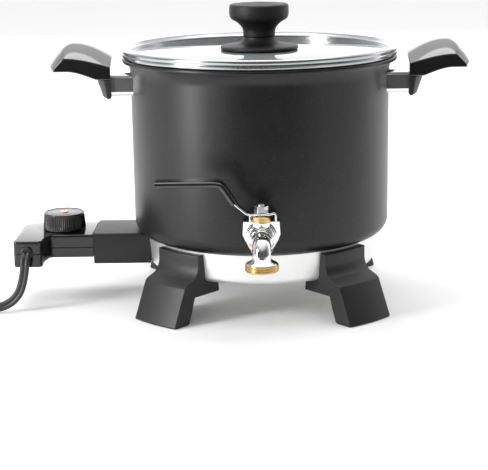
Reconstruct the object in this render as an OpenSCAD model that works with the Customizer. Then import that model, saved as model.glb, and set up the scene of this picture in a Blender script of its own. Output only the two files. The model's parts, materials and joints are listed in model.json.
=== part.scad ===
// Electric wax melting pot: a coated pot on a heated base with a glass lid, a ball valve
// spout and a plug-in temperature probe. It stands on z = 0, the spout points along -Y
// and the probe leaves along -X.

/* [Pot] */
// Outer radius of the pot wall
pot_r = 113; // [90:1:140]
// Height of the pot from its underside to the top of its lip
pot_h = 156; // [125:1:190]
// Wall thickness of the pot
pot_wall = 2; // [1.5:0.1:3]
// Radius of the rounded edge under the wall
pot_corner = 13; // [9:0.5:13.5]
// How far the lip stands out from the wall
lip_out = 7; // [6:0.5:9]
// Height of the flared part of the wall
lip_h = 15; // [13:0.5:18]
// Radius of the rolled bead on the lip
bead_r = 2.2; // [1.8:0.1:2.8]

/* [Lid] */
// Thickness of the glass
glass_t = 3.7; // [3:0.1:5]
// Height of the steel rim above the lip
rim_h = 8; // [7:0.5:10]
// Gap between the lid and the pot, at the lip and at the skirt
lid_gap = 0.3; // [0.2:0.1:0.8]
// Depth of the skirt that hangs inside the mouth
skirt_h = 7; // [4:0.5:10]
// Radius of the knob's head
knob_r = 26; // [20:0.5:32]
// Radius of the knob's foot disc
knob_disc_r = 34; // [28:0.5:40]
// Height of the knob above the glass
knob_h = 41; // [34:0.5:50]
// Radius of the knob's neck
knob_neck_r = 13.9; // [10:0.1:16]

/* [Base] */
// Height of the base above the table
base_z = 33; // [24:1:45]
// Height of the base ring
base_h = 26; // [22:1:34]
// How far the base ring stands back from the pot wall
base_step = 10; // [8:0.5:14]
// How much the base ring narrows towards its underside
base_taper = 2; // [1:0.5:3]
// Wall thickness of the base ring
base_wall = 2; // [1.5:0.1:3]
// Radius of the heating plate
plate_r = 80; // [70:1:86]
// Radius of the element's ring
element_r = 62; // [50:1:68]
// Radius of the element's tube
element_tube = 4.2; // [3.5:0.1:4.5]
// Distance of each terminal pin from the middle
pin_y = 12; // [10:0.5:14]
// Radius of a terminal pin
pin_r = 2.5; // [2:0.1:3]

/* [Feet] */
// Width of a foot
foot_w = 47; // [36:1:56]
// Angle of each foot from the Y axis
foot_angle = 42; // [38:1:46]
// How far a foot's toe stands out from the base ring
foot_out = 35; // [28:1:42]
// Thickness of the ledge that carries the base
ledge_t = 11; // [8:0.5:14]
// Gap between the top of a foot and the underside of the pot
foot_drop = 1.5; // [1:0.5:4]

/* [Handles] */
// Distance from the wall to the inner face of a handle
bracket_out = 15; // [12:0.5:22]
// Reach of a handle beyond its inner face
handle_out = 56; // [46:1:66]
// Half width of a handle
handle_w = 32.5; // [28:0.5:38]
// Height of the handle's crest above the lip
handle_up = 11.5; // [6:0.5:16]
// Half width of a handle bracket
bracket_w = 30; // [24:0.5:31]
// Height of a handle bracket
bracket_h = 20; // [16:0.5:24]
// Sheet thickness of a handle bracket
bracket_t = 1.6; // [1.2:0.1:2.5]

/* [Valve] */
// Height of the valve's centre line above the pot's underside
valve_up = 25; // [24.5:0.5:40]
// Distance from the wall to the stem
stem_out = 26; // [25:0.5:29]
// Distance from the wall to the spout's pipe
spout_out = 59; // [57:0.5:66]
// Radius of the spout's pipe
spout_r = 7.3; // [6.5:0.1:8]
// Radius of the bore through the valve
bore_r = 4.5; // [3.5:0.1:5]
// Radius of the ball
ball_r = 8.5; // [7.5:0.1:8.6]
// Radius of the stem
stem_r = 3; // [2.5:0.1:3.4]
// Outer radius of the outlet thread
thread_r = 13.22; // [12.5:0.01:14]
// Height of the outlet thread
thread_h = 6; // [5:0.5:9]
// Length of the lever from the stem to its tip
lever_l = 84; // [70:1:100]
// Thickness of the lever's plate
lever_t = 1.6; // [1.2:0.1:2.4]
// Width of the lever's plate
lever_w = 13; // [10:0.5:15]
// Thickness of the sleeve round the lever
sleeve_t = 1.6; // [1.2:0.1:2.2]

/* [Probe socket] */
// Length of the socket housing outside the base ring
socket_l = 46; // [38:1:56]
// Width of the socket housing
socket_w = 56.4; // [54:0.2:64]
// Height of the socket housing
socket_h = 27.5; // [26:0.5:32]
// Wall thickness of the socket housing
socket_wall = 2.4; // [1.8:0.1:3]

/* [Probe] */
// Length of the probe's body outside the socket
probe_l = 67.5; // [60:0.5:80]
// Width of the probe's body
probe_w = 51.5; // [48:0.5:52]
// Height of the probe's body
probe_h = 20.5; // [18:0.5:22]
// Depth of the tongue that enters the socket
tongue_l = 20; // [14:1:26]
// Width of the cord block at the end of the body
block_w = 25; // [22:0.5:30]
// How far the cord block stands out from the body's side
block_out = 23.5; // [18:0.5:30]
// Wall thickness of the probe's shells
probe_wall = 2; // [1.5:0.1:2.5]
// Radius of the dial at its foot
dial_r = 19.1; // [15:0.1:20]
// Height of the dial
dial_h = 15; // [10:0.5:20]
// Distance from the socket's mouth to the dial's axis
dial_out = 28.6; // [24:0.1:34]
// Radius of the temperature sensor's rod
rod_r = 3; // [2.5:0.1:3.5]
// Length of the rod beyond the tongue
rod_l = 56; // [45:1:60]

/* [Fits] */
// Radial clearance of a turning shaft
run_gap = 0.05; // [0.02:0.01:0.1]
// Gap between pieces that slide or swing past each other
slide_gap = 0.4; // [0.3:0.1:0.8]

/* [Cord] */
// Width of the flat twin cord
cord_w = 8; // [6:0.5:9]
// Thickness of the flat twin cord
cord_t = 4.4; // [3.5:0.1:5]

/* [Hidden] */
$fn = 72;

// Heights of the main levels
pot_z = base_z + base_h;
lip_z = pot_z + pot_h;
flare_r = lip_h * 1.4;
bead_x = pot_r + lip_out - bead_r;
bead_z = lip_z - bead_r;

// Lid levels, from the gap over the lip
rim_z = lip_z + lid_gap;
glass_z = rim_z + 0.3;
glass_top = glass_z + glass_t;
rim_top = rim_z + rim_h;
rim_r = pot_r + lip_out;
glass_r = bead_x - 2.8;
knob_z = glass_top;
seam_z = knob_z + 0.28 * knob_h;
screw_r = 2.5;
washer_t = 4.5;

// Base
base_r = pot_r - base_step;
base_low_r = base_r - base_taper;
base_corner = 5;
element_z = base_z + 14;
plate_t = pot_z - element_z;
well_r = rod_r + 1.6;
bush_r = pin_r + 2.5;
stud_r = 3;

// Feet
foot_top = pot_z - foot_drop;
foot_in = base_r - 18;
foot_screw_r = 2;
foot_screw_at = base_r - 11;

// Handles
post_x = pot_r + bracket_out;
bracket_top = lip_z - 11.5;
bracket_low = bracket_top - bracket_h;
grip_z = lip_z - 10;
crest_z = lip_z + handle_up;
handle_screw_z = bracket_top - bracket_h / 2;
handle_screw_y = 14;
rivet_r = 2.4;
rivet_y = 18;
rivet_z = handle_screw_z;

// Valve, measured outwards from the wall along -Y
valve_z = pot_z + valve_up;
seal_t = 3;
tail_r = 10.3;
hole_r = tail_r + 0.1;
flange_r = 14.5;
flange_t = 4;
body_out = stem_out - 1;
cone_1 = 12.6;
cone_2 = 11.2;
cone_3 = 9.8;
cone_4 = 8.4;
joint_out = stem_out + 5;
seat_r = ball_r - 0.3;
seat_t = 4;
seat_far = ball_r;
boss_r = 7;
lug_r = 1.6;
boss_top = valve_z + 13;
boss_h = 13 - cone_3 - slide_gap;
gland_r = 7.6;
gland_h = 4.8;
lever_z = boss_top + gland_h + 1;
lever_rise = 25;
sleeve_from = 21.5;
bend_from = 31;
nut_af = 10;
elbow_r = 9;
thread_z = valve_z - 13 - thread_h;

// Socket and probe, measured along -X
socket_z = base_z + 1;
socket_end = base_r + socket_l;
probe_mid = socket_z + socket_h / 2;
probe_top = socket_z + socket_h - 1;
probe_low = probe_top - probe_h;
block_low = probe_low - 2.8;
probe_split = probe_low + 0.44 * probe_h;
probe_face = socket_end + 0.3;
probe_end = socket_end + probe_l;
probe_front = -probe_w / 2 - 1;
probe_back = probe_front + probe_w;
corner_r = 17;
block_front = probe_front - block_out + 0.5;
tongue_w = socket_w / 2 - socket_wall - 1.4;
tongue_end = socket_end - tongue_l;
tongue_top = probe_top - socket_wall - 0.8;
tongue_low = probe_low + 1;
dial_x = socket_end + dial_out;
shaft_r = 3;
rod_end = tongue_end - rod_l;
contact_r = pin_r + 1.2;
pin_end = tongue_end + 12;
boot_x = -probe_end + block_w / 2 - 0.6;
boot_z = probe_mid + 3;

// The cord's route from the boot to the coil, relative to the boot's foot on the block
route = [
    [0, -4, 0], [0, -6.3, -0.3], [0, -8.5, -1.2], [0, -10.4, -2.6], [0, -11.8, -4.5],
    [0, -12.7, -6.7], [-0.2, -13, -9], [-1, -13, -15], [-2.5, -13, -22], [-4.5, -13, -29],
    [-8, -13, -35.5], [-13, -13, -40.5], [-19, -13, -44], [-26, -13, -46], [-34, -13, -46.6],
    [-46, -13, -46.6], [-58, -13, -46.6], [-67, -13, -46.6], [-76, -13, -46.6]
];
coil_out_r = 52;
coil_in_r = coil_out_r - 3.4 * cord_t;
plug_w = 22;
plug_l = 26;
plug_h = 16;
blade_l = 17;
blade_y = 6.35;
plug_turn = 15;
plug_back = 20;
plug_mid = coil_in_r - 4.5 - plug_w / 2;
route_end = route[len(route) - 1];
coil_centre = [boot_x + route_end[0] - 21.2, block_front + route_end[1] + coil_out_r - cord_t / 2, 0];

// Moves a shape drawn along its own Z to the valve's centre line, pointing outwards
module on_valve(out = 0) {
    translate([0, -pot_r - out, valve_z]) rotate([90, 0, 0]) children();
}

// Moves a shape drawn along its own Z so that it points along -X from the middle
module along_x(from, y, z) {
    translate([-from, y, z]) rotate([0, -90, 0]) children();
}

// Turns a profile of radius and height about the pot's axis
module turned(angle = 360) {
    rotate_extrude(angle = angle, $fn = 144) children();
}

// Quarter of a ring in the profile plane, for a rounded edge below and outside
module quarter_ring(centre, outer, inner) {
    difference() {
        quarter_disc(centre, outer);
        translate(centre) circle(r = inner);
    }
}

module quarter_disc(centre, r) {
    translate(centre) intersection() {
        circle(r = r);
        translate([0, -r]) square(r);
    }
}

module ball(r) {
    rotate_extrude() intersection() {
        circle(r = r);
        translate([0, -r]) square([r, 2 * r]);
    }
}

// Rectangle with round corners, made of exact arcs
module round_square(w, h, r) {
    translate([-w / 2 + r, -h / 2]) square([w - 2 * r, h]);
    translate([-w / 2, -h / 2 + r]) square([w, h - 2 * r]);
    for (x = [-1, 1], y = [-1, 1]) translate([x * (w / 2 - r), y * (h / 2 - r)]) circle(r = r);
}

// Puts a child at each of the four feet; the foot's own +X points outwards
module at_foot(side, end) {
    rotate([0, 0, end * 90 + side * end * -foot_angle]) children();
}

// ---- Pot ----

module pot_profile() {
    square([pot_r - pot_corner, pot_wall]);
    translate([0, pot_corner]) quarter_ring([pot_r - pot_corner, 0], pot_corner, pot_corner - pot_wall);
    translate([pot_r - pot_wall, pot_corner]) square([pot_wall, pot_h - lip_h - pot_corner]);
    intersection() {
        translate([pot_r + flare_r, pot_h - lip_h]) difference() {
            circle(r = flare_r + pot_wall);
            circle(r = flare_r);
        }
        translate([pot_r - pot_wall, pot_h - lip_h]) square([lip_out, lip_h - bead_r]);
    }
    translate([bead_x, pot_h - bead_r]) circle(r = bead_r);
}

// The pot's outer form below the wall, grown by a gap, to cut neighbours with
module pot_foot_cutter(gap) {
    translate([0, 0, pot_z]) turned() {
        translate([0, -gap]) square([pot_r - pot_corner, pot_h]);
        intersection() {
            translate([pot_r - pot_corner, pot_corner]) circle(r = pot_corner + gap);
            translate([pot_r - pot_corner, -gap]) square([pot_corner + gap, pot_corner + gap]);
        }
        translate([pot_r - pot_corner, pot_corner]) square([pot_corner + gap, 2 * pot_corner]);
    }
}

module pot_shell() {
    color("dimgray") difference() {
        translate([0, 0, pot_z]) turned() pot_profile();
        on_valve(-2 * pot_wall) cylinder(h = 4 * pot_wall, r = hole_r);
        for (side = [-1, 1], y = [-rivet_y, rivet_y]) {
            translate([side * (pot_r - 3 * pot_wall), y, handle_screw_z]) rotate([0, side * 90, 0])
                cylinder(h = 4 * pot_wall, r = rivet_r);
        }
    }
}

// ---- Base ----

module base_outline() {
    polygon([
        [0, base_corner], [base_low_r, base_corner], [base_r, base_h], [0, base_h]
    ]);
    square([base_low_r - base_corner, base_corner]);
    quarter_disc([base_low_r - base_corner, base_corner], base_corner);
}

module base_solid() {
    translate([0, 0, base_z]) turned() base_outline();
}

module base_ring() {
    low = base_low_r - base_wall;
    color("gainsboro") difference() {
        base_solid();
        translate([0, 0, base_z]) turned() {
            polygon([
                [0, base_corner], [low, base_corner], [base_r - base_wall, base_h + 1], [0, base_h + 1]
            ]);
            translate([0, base_wall]) square([base_low_r - base_corner, base_corner]);
            quarter_disc([base_low_r - base_corner, base_corner], base_corner - base_wall);
        }
        for (y = [-pin_y, pin_y]) along_x(base_low_r - 8, y, element_z) cylinder(h = 16, r = bush_r);
        along_x(base_low_r - 8, 0, element_z) cylinder(h = 16, r = well_r);
        for (y = [-22, 22]) along_x(base_low_r - 12, y, element_z) cylinder(h = 20, r = 1.5);
        translate([0, 0, base_z - 1]) cylinder(h = 2 * base_wall, r = stud_r);
        for (side = [-1, 1], end = [-1, 1]) at_foot(side, end) translate([foot_screw_at, 0, base_z - 1])
            cylinder(h = 2 * base_wall, r = foot_screw_r);
    }
}

module element_path(r) {
    gap = asin(pin_y / element_r);
    translate([0, 0, element_z]) {
        rotate([0, 0, -180 + gap]) rotate_extrude(angle = 360 - 2 * gap) translate([element_r, 0])
            circle(r = r);
        for (y = [-pin_y, pin_y]) translate([-element_r * cos(gap), y, 0]) {
            ball(r + 0.3);
            rotate([0, -90, 0]) cylinder(h = base_low_r - 6 - element_r * cos(gap), r = r);
        }
    }
}

module heating_plate() {
    color("silver") difference() {
        translate([0, 0, element_z]) cylinder(h = plate_t, r = plate_r);
        element_path(element_tube);
        along_x(rod_end - 8, 0, element_z) cylinder(h = plate_r, r = well_r);
        translate([0, 0, element_z - 1]) cylinder(h = 7, r = stud_r);
    }
}

module heating_element() {
    color("darkgray") {
        element_path(element_tube);
        for (y = [-pin_y, pin_y]) along_x(base_low_r - 7, y, element_z)
            cylinder(h = pin_end - base_low_r + 7, r = pin_r);
    }
}

module element_bushings() {
    color("linen") for (y = [-pin_y, pin_y]) along_x(base_low_r - 6, y, element_z) difference() {
        cylinder(h = 10, r = bush_r);
        translate([0, 0, -1]) cylinder(h = 12, r = pin_r);
    }
}

module sensor_well() {
    color("darkgray") difference() {
        along_x(rod_end - 8, 0, element_z) cylinder(h = base_r + 1 - rod_end + 8, r = well_r);
        along_x(rod_end - 6, 0, element_z) cylinder(h = base_r, r = rod_r + slide_gap);
    }
}

module base_stud() {
    color("silver") translate([0, 0, base_z - 6]) cylinder(h = element_z - base_z + 12, r = stud_r);
}

module base_nut() {
    color("silver") difference() {
        translate([0, 0, base_z - 5]) cylinder(h = 5, r = 5.8, $fn = 6);
        translate([0, 0, base_z - 6]) cylinder(h = 7, r = stud_r);
    }
}

// ---- Feet ----

function arc(c, r, a0, a1, n) = [for (i = [0:n]) let (a = a0 + (a1 - a0) * i / n) c + r * [cos(a), sin(a)]];

module foot_profile() {
    ledge_z = base_z - ledge_t;
    top_r = base_r + 5.5;
    knee = [base_r + 0.63 * foot_out, base_z - 1.5];
    toe_r = base_r + foot_out;
    heel_r = toe_r - 18.5;
    bend_r = 14;
    polygon(concat(
        [[foot_in, base_z], [foot_in - 1, ledge_z], [base_r + 10.3, ledge_z]],
        arc([heel_r + 4, 4], 4, 180, 270, 4),
        [[toe_r - 1, 0], [toe_r, 1]],
        arc(knee + [-3, -1.3], 3.3, 20, 48, 3),
        arc([top_r + bend_r, base_z + 15.5], bend_r, 232, 180, 6),
        arc([top_r - 1, foot_top - 1], 1, 0, 90, 3),
        [[base_low_r - 8, foot_top]]
    ));
}

module foot() {
    difference() {
        intersection() {
            rotate([0, 0, -20]) turned(40) foot_profile();
            linear_extrude(height = foot_top + 1) polygon([
                [foot_in - 5, -foot_w / 2 + 1], [base_r + foot_out + 5, -foot_w / 2 - 0.8],
                [base_r + foot_out + 5, foot_w / 2 + 0.8], [foot_in - 5, foot_w / 2 - 1]
            ]);
        }
        base_solid();
        translate([foot_screw_at, 0, 0]) {
            cylinder(h = base_z + 1, r = foot_screw_r);
            cylinder(h = base_z - ledge_t + 4, r = 4.5);
        }
    }
}

module foot_front_left() { color("#2b2b2b") at_foot(-1, -1) foot(); }
module foot_front_right() { color("#2b2b2b") at_foot(1, -1) foot(); }
module foot_rear_left() { color("#2b2b2b") at_foot(-1, 1) foot(); }
module foot_rear_right() { color("#2b2b2b") at_foot(1, 1) foot(); }

module foot_screws() {
    head_z = base_z - ledge_t + 4;
    color("silver") for (side = [-1, 1], end = [-1, 1]) at_foot(side, end) translate([foot_screw_at, 0, 0]) {
        translate([0, 0, head_z - 2.5]) cylinder(h = 2.5, r = 4);
        translate([0, 0, head_z]) cylinder(h = base_z + base_wall + 1.5 - head_z, r = foot_screw_r);
    }
}

// ---- Handles, drawn at +X and mirrored ----

// Along its reach the grip has u from 0 at the post to 1 at its tip, and across it v from -1 to 1
function side_top(u) =
    grip_z + 4.2 + 7.5 * sin(90 * min(1, u / 0.77)) - 9.5 * max(0, u - 0.77) / 0.23;
function crest_top(u) =
    grip_z + 11 + (crest_z - grip_z - 11) * sin(90 * min(1, u / 0.62))
    - 17.5 * pow(max(0, u - 0.62) / 0.38, 2);
function grip_low(u) = grip_z - 6.7 + 7 * sin(90 * min(1, max(0, u - 0.23) / 0.5));
function grip_point(u, v, z) = [post_x + u * handle_out - 7 * v * v * pow(u, 3), v * handle_w, z];

module handle_grip() {
    nu = 13;
    nv = 12;
    row = nv + 1;
    low = (nu + 1) * row;
    points = concat(
        [for (i = [0:nu], j = [0:nv]) let (u = i / nu, v = 2 * j / nv - 1)
            grip_point(u, v, side_top(u) + (crest_top(u) - side_top(u)) * (1 - v * v))],
        [for (i = [0:nu], j = [0:nv]) let (u = i / nu, v = 2 * j / nv - 1) grip_point(u, v, grip_low(u))]
    );
    faces = concat(
        [for (i = [0:nu - 1], j = [0:nv - 1]) let (a = i * row + j) [a, a + 1, a + row]],
        [for (i = [0:nu - 1], j = [0:nv - 1]) let (a = i * row + j) [a + 1, a + row + 1, a + row]],
        [for (i = [0:nu - 1], j = [0:nv - 1]) let (a = low + i * row + j) [a, a + row, a + 1]],
        [for (i = [0:nu - 1], j = [0:nv - 1]) let (a = low + i * row + j) [a + 1, a + row, a + row + 1]],
        [for (i = [0:nu - 1]) let (a = i * row) [a, a + row, low + a + row, low + a]],
        [for (i = [0:nu - 1]) let (a = i * row + nv) [a + row, a, low + a, low + a + row]],
        [for (j = [0:nv - 1]) [j + 1, j, low + j, low + j + 1]],
        [for (j = [0:nv - 1]) let (a = nu * row + j) [a, a + 1, low + a + 1, low + a]]
    );
    polyhedron(points, faces, convexity = 4);
}

module post_side() {
    low_z = bracket_low - 1.8;
    polygon(concat(
        arc([post_x + 2, low_z + 2], 2, 180, 270, 3),
        arc([post_x + 5.5, low_z + 2.5], 2.5, 270, 340, 3),
        [[post_x + 12.7, grip_low(0)], [post_x, grip_low(0)]]
    ));
}

module handle_post() {
    difference() {
        intersection() {
            translate([0, handle_w, 0]) rotate([90, 0, 0]) linear_extrude(height = 2 * handle_w) post_side();
            linear_extrude(height = lip_z) polygon([
                [post_x, -handle_w], [post_x + 6, -handle_w], [post_x + 13, 10 - handle_w],
                [post_x + 13, handle_w - 10], [post_x + 6, handle_w], [post_x, handle_w]
            ]);
        }
        for (y = [-handle_screw_y, handle_screw_y]) translate([post_x - 1, y, handle_screw_z])
            rotate([0, 90, 0]) cylinder(h = 7, r = 1.8);
    }
}

// Everything inside the pot's outer wall and flare
module wall_cutter() {
    turned() {
        square([pot_r, lip_z - lip_h]);
        translate([0, lip_z - lip_h]) difference() {
            square([pot_r + lip_out, lip_h]);
            translate([pot_r + flare_r, 0]) circle(r = flare_r);
        }
    }
}

module bracket_bar(w, h, r, from, to) {
    translate([from, 0, bracket_top - bracket_h / 2]) rotate([90, 0, 90]) linear_extrude(height = to - from)
        round_square(w, h, r);
}

module handle_bracket() {
    back_r = pot_r + bracket_t;
    difference() {
        bracket_bar(2 * bracket_w, bracket_h, 4, pot_r - 6, post_x);
        wall_cutter();
        difference() {
            union() {
                bracket_bar(2 * (bracket_w - bracket_t), bracket_h - 2 * bracket_t, 4 - bracket_t,
                    pot_r - 8, post_x - bracket_t);
                translate([pot_r - 8, 8 - bracket_w, bracket_low - 1])
                    cube([bracket_out + 8 - bracket_t, 2 * bracket_w - 16, bracket_t + 2]);
            }
            cylinder(h = lip_z, r = back_r, $fn = 144);
        }
        for (y = [-handle_screw_y, handle_screw_y]) translate([post_x - 2 * bracket_t, y, handle_screw_z])
            rotate([0, 90, 0]) cylinder(h = 4 * bracket_t, r = 1.8);
        for (y = [-rivet_y, rivet_y]) translate([pot_r - 8, y, rivet_z])
            rotate([0, 90, 0]) cylinder(h = 10, r = rivet_r);
    }
}

module handle_left_grip() { color("#1c1c1c") mirror([1, 0, 0]) handle_grip(); }
module handle_left_post() { color("#262626") mirror([1, 0, 0]) handle_post(); }
module handle_left_bracket() { color("lightgray") mirror([1, 0, 0]) handle_bracket(); }
module handle_right_grip() { color("#1c1c1c") handle_grip(); }
module handle_right_post() { color("#262626") handle_post(); }
module handle_right_bracket() { color("lightgray") handle_bracket(); }

module handle_screws() {
    color("silver") for (side = [-1, 1], y = [-handle_screw_y, handle_screw_y]) {
        translate([side * (post_x - bracket_t - 2), y, handle_screw_z]) rotate([0, side * 90, 0]) {
            cylinder(h = 2, r = 3.4);
            translate([0, 0, 2]) cylinder(h = bracket_t + 5.5, r = 1.8);
        }
    }
}

module bracket_rivets() {
    inner = sqrt(pow(pot_r - pot_wall, 2) - pow(rivet_y + 4, 2));
    outer = sqrt(pow(pot_r + bracket_t, 2) - pow(rivet_y - 4, 2));
    color("silver") for (side = [-1, 1], y = [-rivet_y, rivet_y]) translate([0, y, rivet_z])
        rotate([0, side * 90, 0]) {
            translate([0, 0, inner - 1.6]) cylinder(h = 1.6, r = 4);
            translate([0, 0, inner]) cylinder(h = outer - inner, r = rivet_r);
            translate([0, 0, outer]) cylinder(h = 1.4, r = 4);
        }
}

// ---- Valve ----

// Moves a shape to the valve's stem axis, at height z
module at_stem(z) {
    translate([0, -pot_r - stem_out, z]) children();
}

// Moves a shape to the outlet's axis, at height z
module at_outlet(z) {
    translate([0, -pot_r - spout_out, z]) children();
}

module body_outline() {
    polygon([
        [-14.5, 12.5], [-15.2, 2], [-13.2, -3], [-7.6, -13.6],
        [7.6, -13.6], [13.2, -3], [15.2, 2], [14.5, 12.5]
    ]);
}

module valve_body() {
    color("gainsboro") difference() {
        union() {
            on_valve(-14) cylinder(h = 14 + seal_t + 1, r = tail_r);
            on_valve(seal_t) cylinder(h = flange_t, r = flange_r);
            on_valve(seal_t + flange_t) linear_extrude(height = body_out - seal_t - flange_t) body_outline();
            on_valve(body_out - 1) cylinder(h = 4, r = cone_1);
            on_valve(body_out) cylinder(h = joint_out - body_out, r = cone_2);
            at_stem(boss_top - boss_h) cylinder(h = boss_h, r = boss_r);
            at_stem(valve_z + 12) translate([-lever_w / 2 - slide_gap - lug_r, 11.6, 0])
                cylinder(h = 5, r = lug_r);
        }
        on_valve(-15) cylinder(h = stem_out - seat_far + 16, r = bore_r);
        on_valve(stem_out - seat_far) cylinder(h = seat_t, r = seat_r);
        on_valve(stem_out - seat_far + seat_t - 0.1) cylinder(h = joint_out, r = ball_r + slide_gap);
        at_stem(valve_z) cylinder(h = 20, r = stem_r + run_gap);
        at_stem(boss_top - 3) cylinder(h = 4, r = 5);
    }
}

module valve_seats() {
    color("white") for (side = [0, 1]) difference() {
        on_valve(side == 0 ? stem_out - seat_far : stem_out + seat_far - seat_t) difference() {
            cylinder(h = seat_t, r = seat_r);
            translate([0, 0, -1]) cylinder(h = seat_t + 2, r = bore_r);
        }
        at_stem(valve_z) ball(ball_r + run_gap);
    }
}

module valve_spout() {
    color("gainsboro") difference() {
        union() {
            on_valve(joint_out) cylinder(h = 4, r = cone_3);
            on_valve(joint_out) cylinder(h = 9, r = cone_4);
            on_valve(joint_out) cylinder(h = spout_out - elbow_r - joint_out, r = spout_r);
            translate([0, -pot_r - spout_out + elbow_r, valve_z - elbow_r]) rotate([90, 0, -90])
                rotate_extrude(angle = 90) translate([elbow_r, 0]) circle(r = spout_r);
            at_outlet(thread_z) cylinder(h = valve_z - elbow_r - thread_z, r = spout_r);
            at_outlet(thread_z + thread_h) cylinder(h = 1.6, r = thread_r - 0.8);
        }
        on_valve(joint_out - 1) cylinder(h = spout_out - elbow_r - joint_out + 1, r = bore_r);
        on_valve(joint_out - 1) cylinder(h = stem_out + seat_far - joint_out + 1, r = seat_r);
        translate([0, -pot_r - spout_out + elbow_r, valve_z - elbow_r]) rotate([90, 0, -90])
            rotate_extrude(angle = 90) translate([elbow_r, 0]) circle(r = bore_r);
        at_outlet(thread_z - 1) cylinder(h = valve_z - elbow_r - thread_z + 1, r = bore_r);
    }
}

module outlet_thread() {
    color("goldenrod") at_outlet(thread_z) difference() {
        cylinder(h = thread_h, r = thread_r);
        translate([0, 0, -1]) cylinder(h = thread_h + 2, r = spout_r);
    }
}

module valve_outer_seal() {
    color("#303030") difference() {
        on_valve(-3) cylinder(h = seal_t + 3, r = flange_r);
        on_valve(-4) cylinder(h = seal_t + 8, r = tail_r);
        cylinder(h = lip_z, r = pot_r, $fn = 144);
    }
}

module valve_inner_seal() {
    color("#303030") difference() {
        intersection() {
            on_valve(-pot_wall - 2.5) cylinder(h = 6, r = tail_r + 1.7);
            cylinder(h = lip_z, r = pot_r - pot_wall, $fn = 144);
        }
        on_valve(-8) cylinder(h = 16, r = tail_r);
    }
}

module valve_locknut() {
    color("gainsboro") on_valve(-pot_wall - 2.5 - 6) difference() {
        cylinder(h = 6, r = flange_r + 1, $fn = 6);
        translate([0, 0, -1]) cylinder(h = 8, r = tail_r);
    }
}

module stem_packing() {
    color("white") at_stem(boss_top - 3) difference() {
        cylinder(h = 3, r = 5);
        translate([0, 0, -1]) cylinder(h = 5, r = stem_r + run_gap);
    }
}

module gland_nut() {
    color("goldenrod") at_stem(boss_top) difference() {
        cylinder(h = gland_h, r = gland_r);
        translate([0, 0, -1]) cylinder(h = gland_h + 2, r = stem_r + run_gap);
    }
}

module valve_ball() {
    color("silver") at_stem(valve_z) difference() {
        ball(ball_r);
        rotate([0, 90, 0]) cylinder(h = 4 * ball_r, r = bore_r, center = true);
        translate([0, 0, ball_r - 1.8]) cylinder(h = 3, r = stem_r);
    }
}

module valve_stem() {
    top = lever_z + lever_t + 6.5;
    foot_z = valve_z + ball_r - 1.8;
    color("silver") {
        at_stem(foot_z) cylinder(h = lever_z + lever_t - foot_z, r = stem_r);
        at_stem(foot_z) cylinder(h = top - foot_z, r = stem_r - 0.5);
    }
}

// Middle line of the lever seen from the front, from the stop tab to the tip
lever_line = [
    [11.6, -5.3], [11.4, 1.6], [6.6, 0], [-11, 0], [-sleeve_from, 8.8],
    [-bend_from, lever_rise - 1.8], [-bend_from - 2, lever_rise - 0.6],
    [-bend_from - 6, lever_rise], [-lever_l + 1, lever_rise]
];
function unit(v) = v / norm(v);
function side_of(line, i) = let (
    a = unit(line[min(i + 1, len(line) - 1)] - line[min(i, len(line) - 2)]),
    b = unit(line[max(i, 1)] - line[max(i - 1, 0)]),
    m = unit(a + b)
) [-m[1], m[0]] / max(0.5, m * a);
// A strip of even thickness along a line
function strip(line, t) = concat(
    [for (i = [0:len(line) - 1]) line[i] + side_of(line, i) * t / 2],
    [for (i = [len(line) - 1:-1:0]) line[i] - side_of(line, i) * t / 2]
);

module lever_cut(line, t, w) {
    translate([0, -pot_r - stem_out + w / 2, lever_z + lever_t / 2]) rotate([90, 0, 0])
        linear_extrude(height = w) polygon(strip(line, t));
}

module lever_plate() {
    color("silver") difference() {
        lever_cut(lever_line, lever_t, lever_w);
        at_stem(lever_z - 1) cylinder(h = lever_t + 2, r = stem_r);
    }
}

module lever_sleeve() {
    sleeve_line = concat([for (i = [4:7]) lever_line[i]], [[-lever_l, lever_rise]]);
    color("#151515") difference() {
        lever_cut(sleeve_line, lever_t + 2 * sleeve_t, lever_w + 2 * sleeve_t);
        lever_cut(lever_line, lever_t, lever_w);
    }
}

module lever_nut() {
    color("silver") at_stem(lever_z + lever_t) difference() {
        cylinder(h = 5.5, r = nut_af / 2 / cos(30), $fn = 6);
        translate([0, 0, -1]) cylinder(h = 8, r = stem_r - 0.5);
    }
}

// ---- Lid ----

module lid_rim_profile() {
    difference() {
        polygon(concat(
            [
                [glass_r - 6, glass_z], [glass_r - 6, rim_z - skirt_h], [glass_r - 4.9, rim_z - skirt_h],
                [glass_r - 4.9, rim_z - 0.6], [glass_r + 0.2, rim_z - 0.6], [glass_r + 0.2, rim_z],
                [rim_r - 0.8, rim_z]
            ],
            arc([rim_r - 2, rim_z + 2], 2, 315, 360, 3),
            arc([rim_r - 2, rim_top - 2], 2, 0, 90, 4),
            [
                [rim_r - 3.4, rim_top], [glass_r, glass_top + 1.4], [glass_r - 2.5, glass_top + 0.7],
                [glass_r - 2.5, glass_z]
            ]
        ));
        translate([0, glass_z]) square([glass_r, glass_t]);
    }
}

module lid_rim() {
    color("whitesmoke") turned() lid_rim_profile();
}

module lid_glass() {
    color("lightcyan", 0.4) difference() {
        translate([0, 0, glass_z]) cylinder(h = glass_t, r = glass_r, $fn = 144);
        translate([0, 0, glass_z - 1]) cylinder(h = glass_t + 2, r = 3.5);
    }
}

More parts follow.
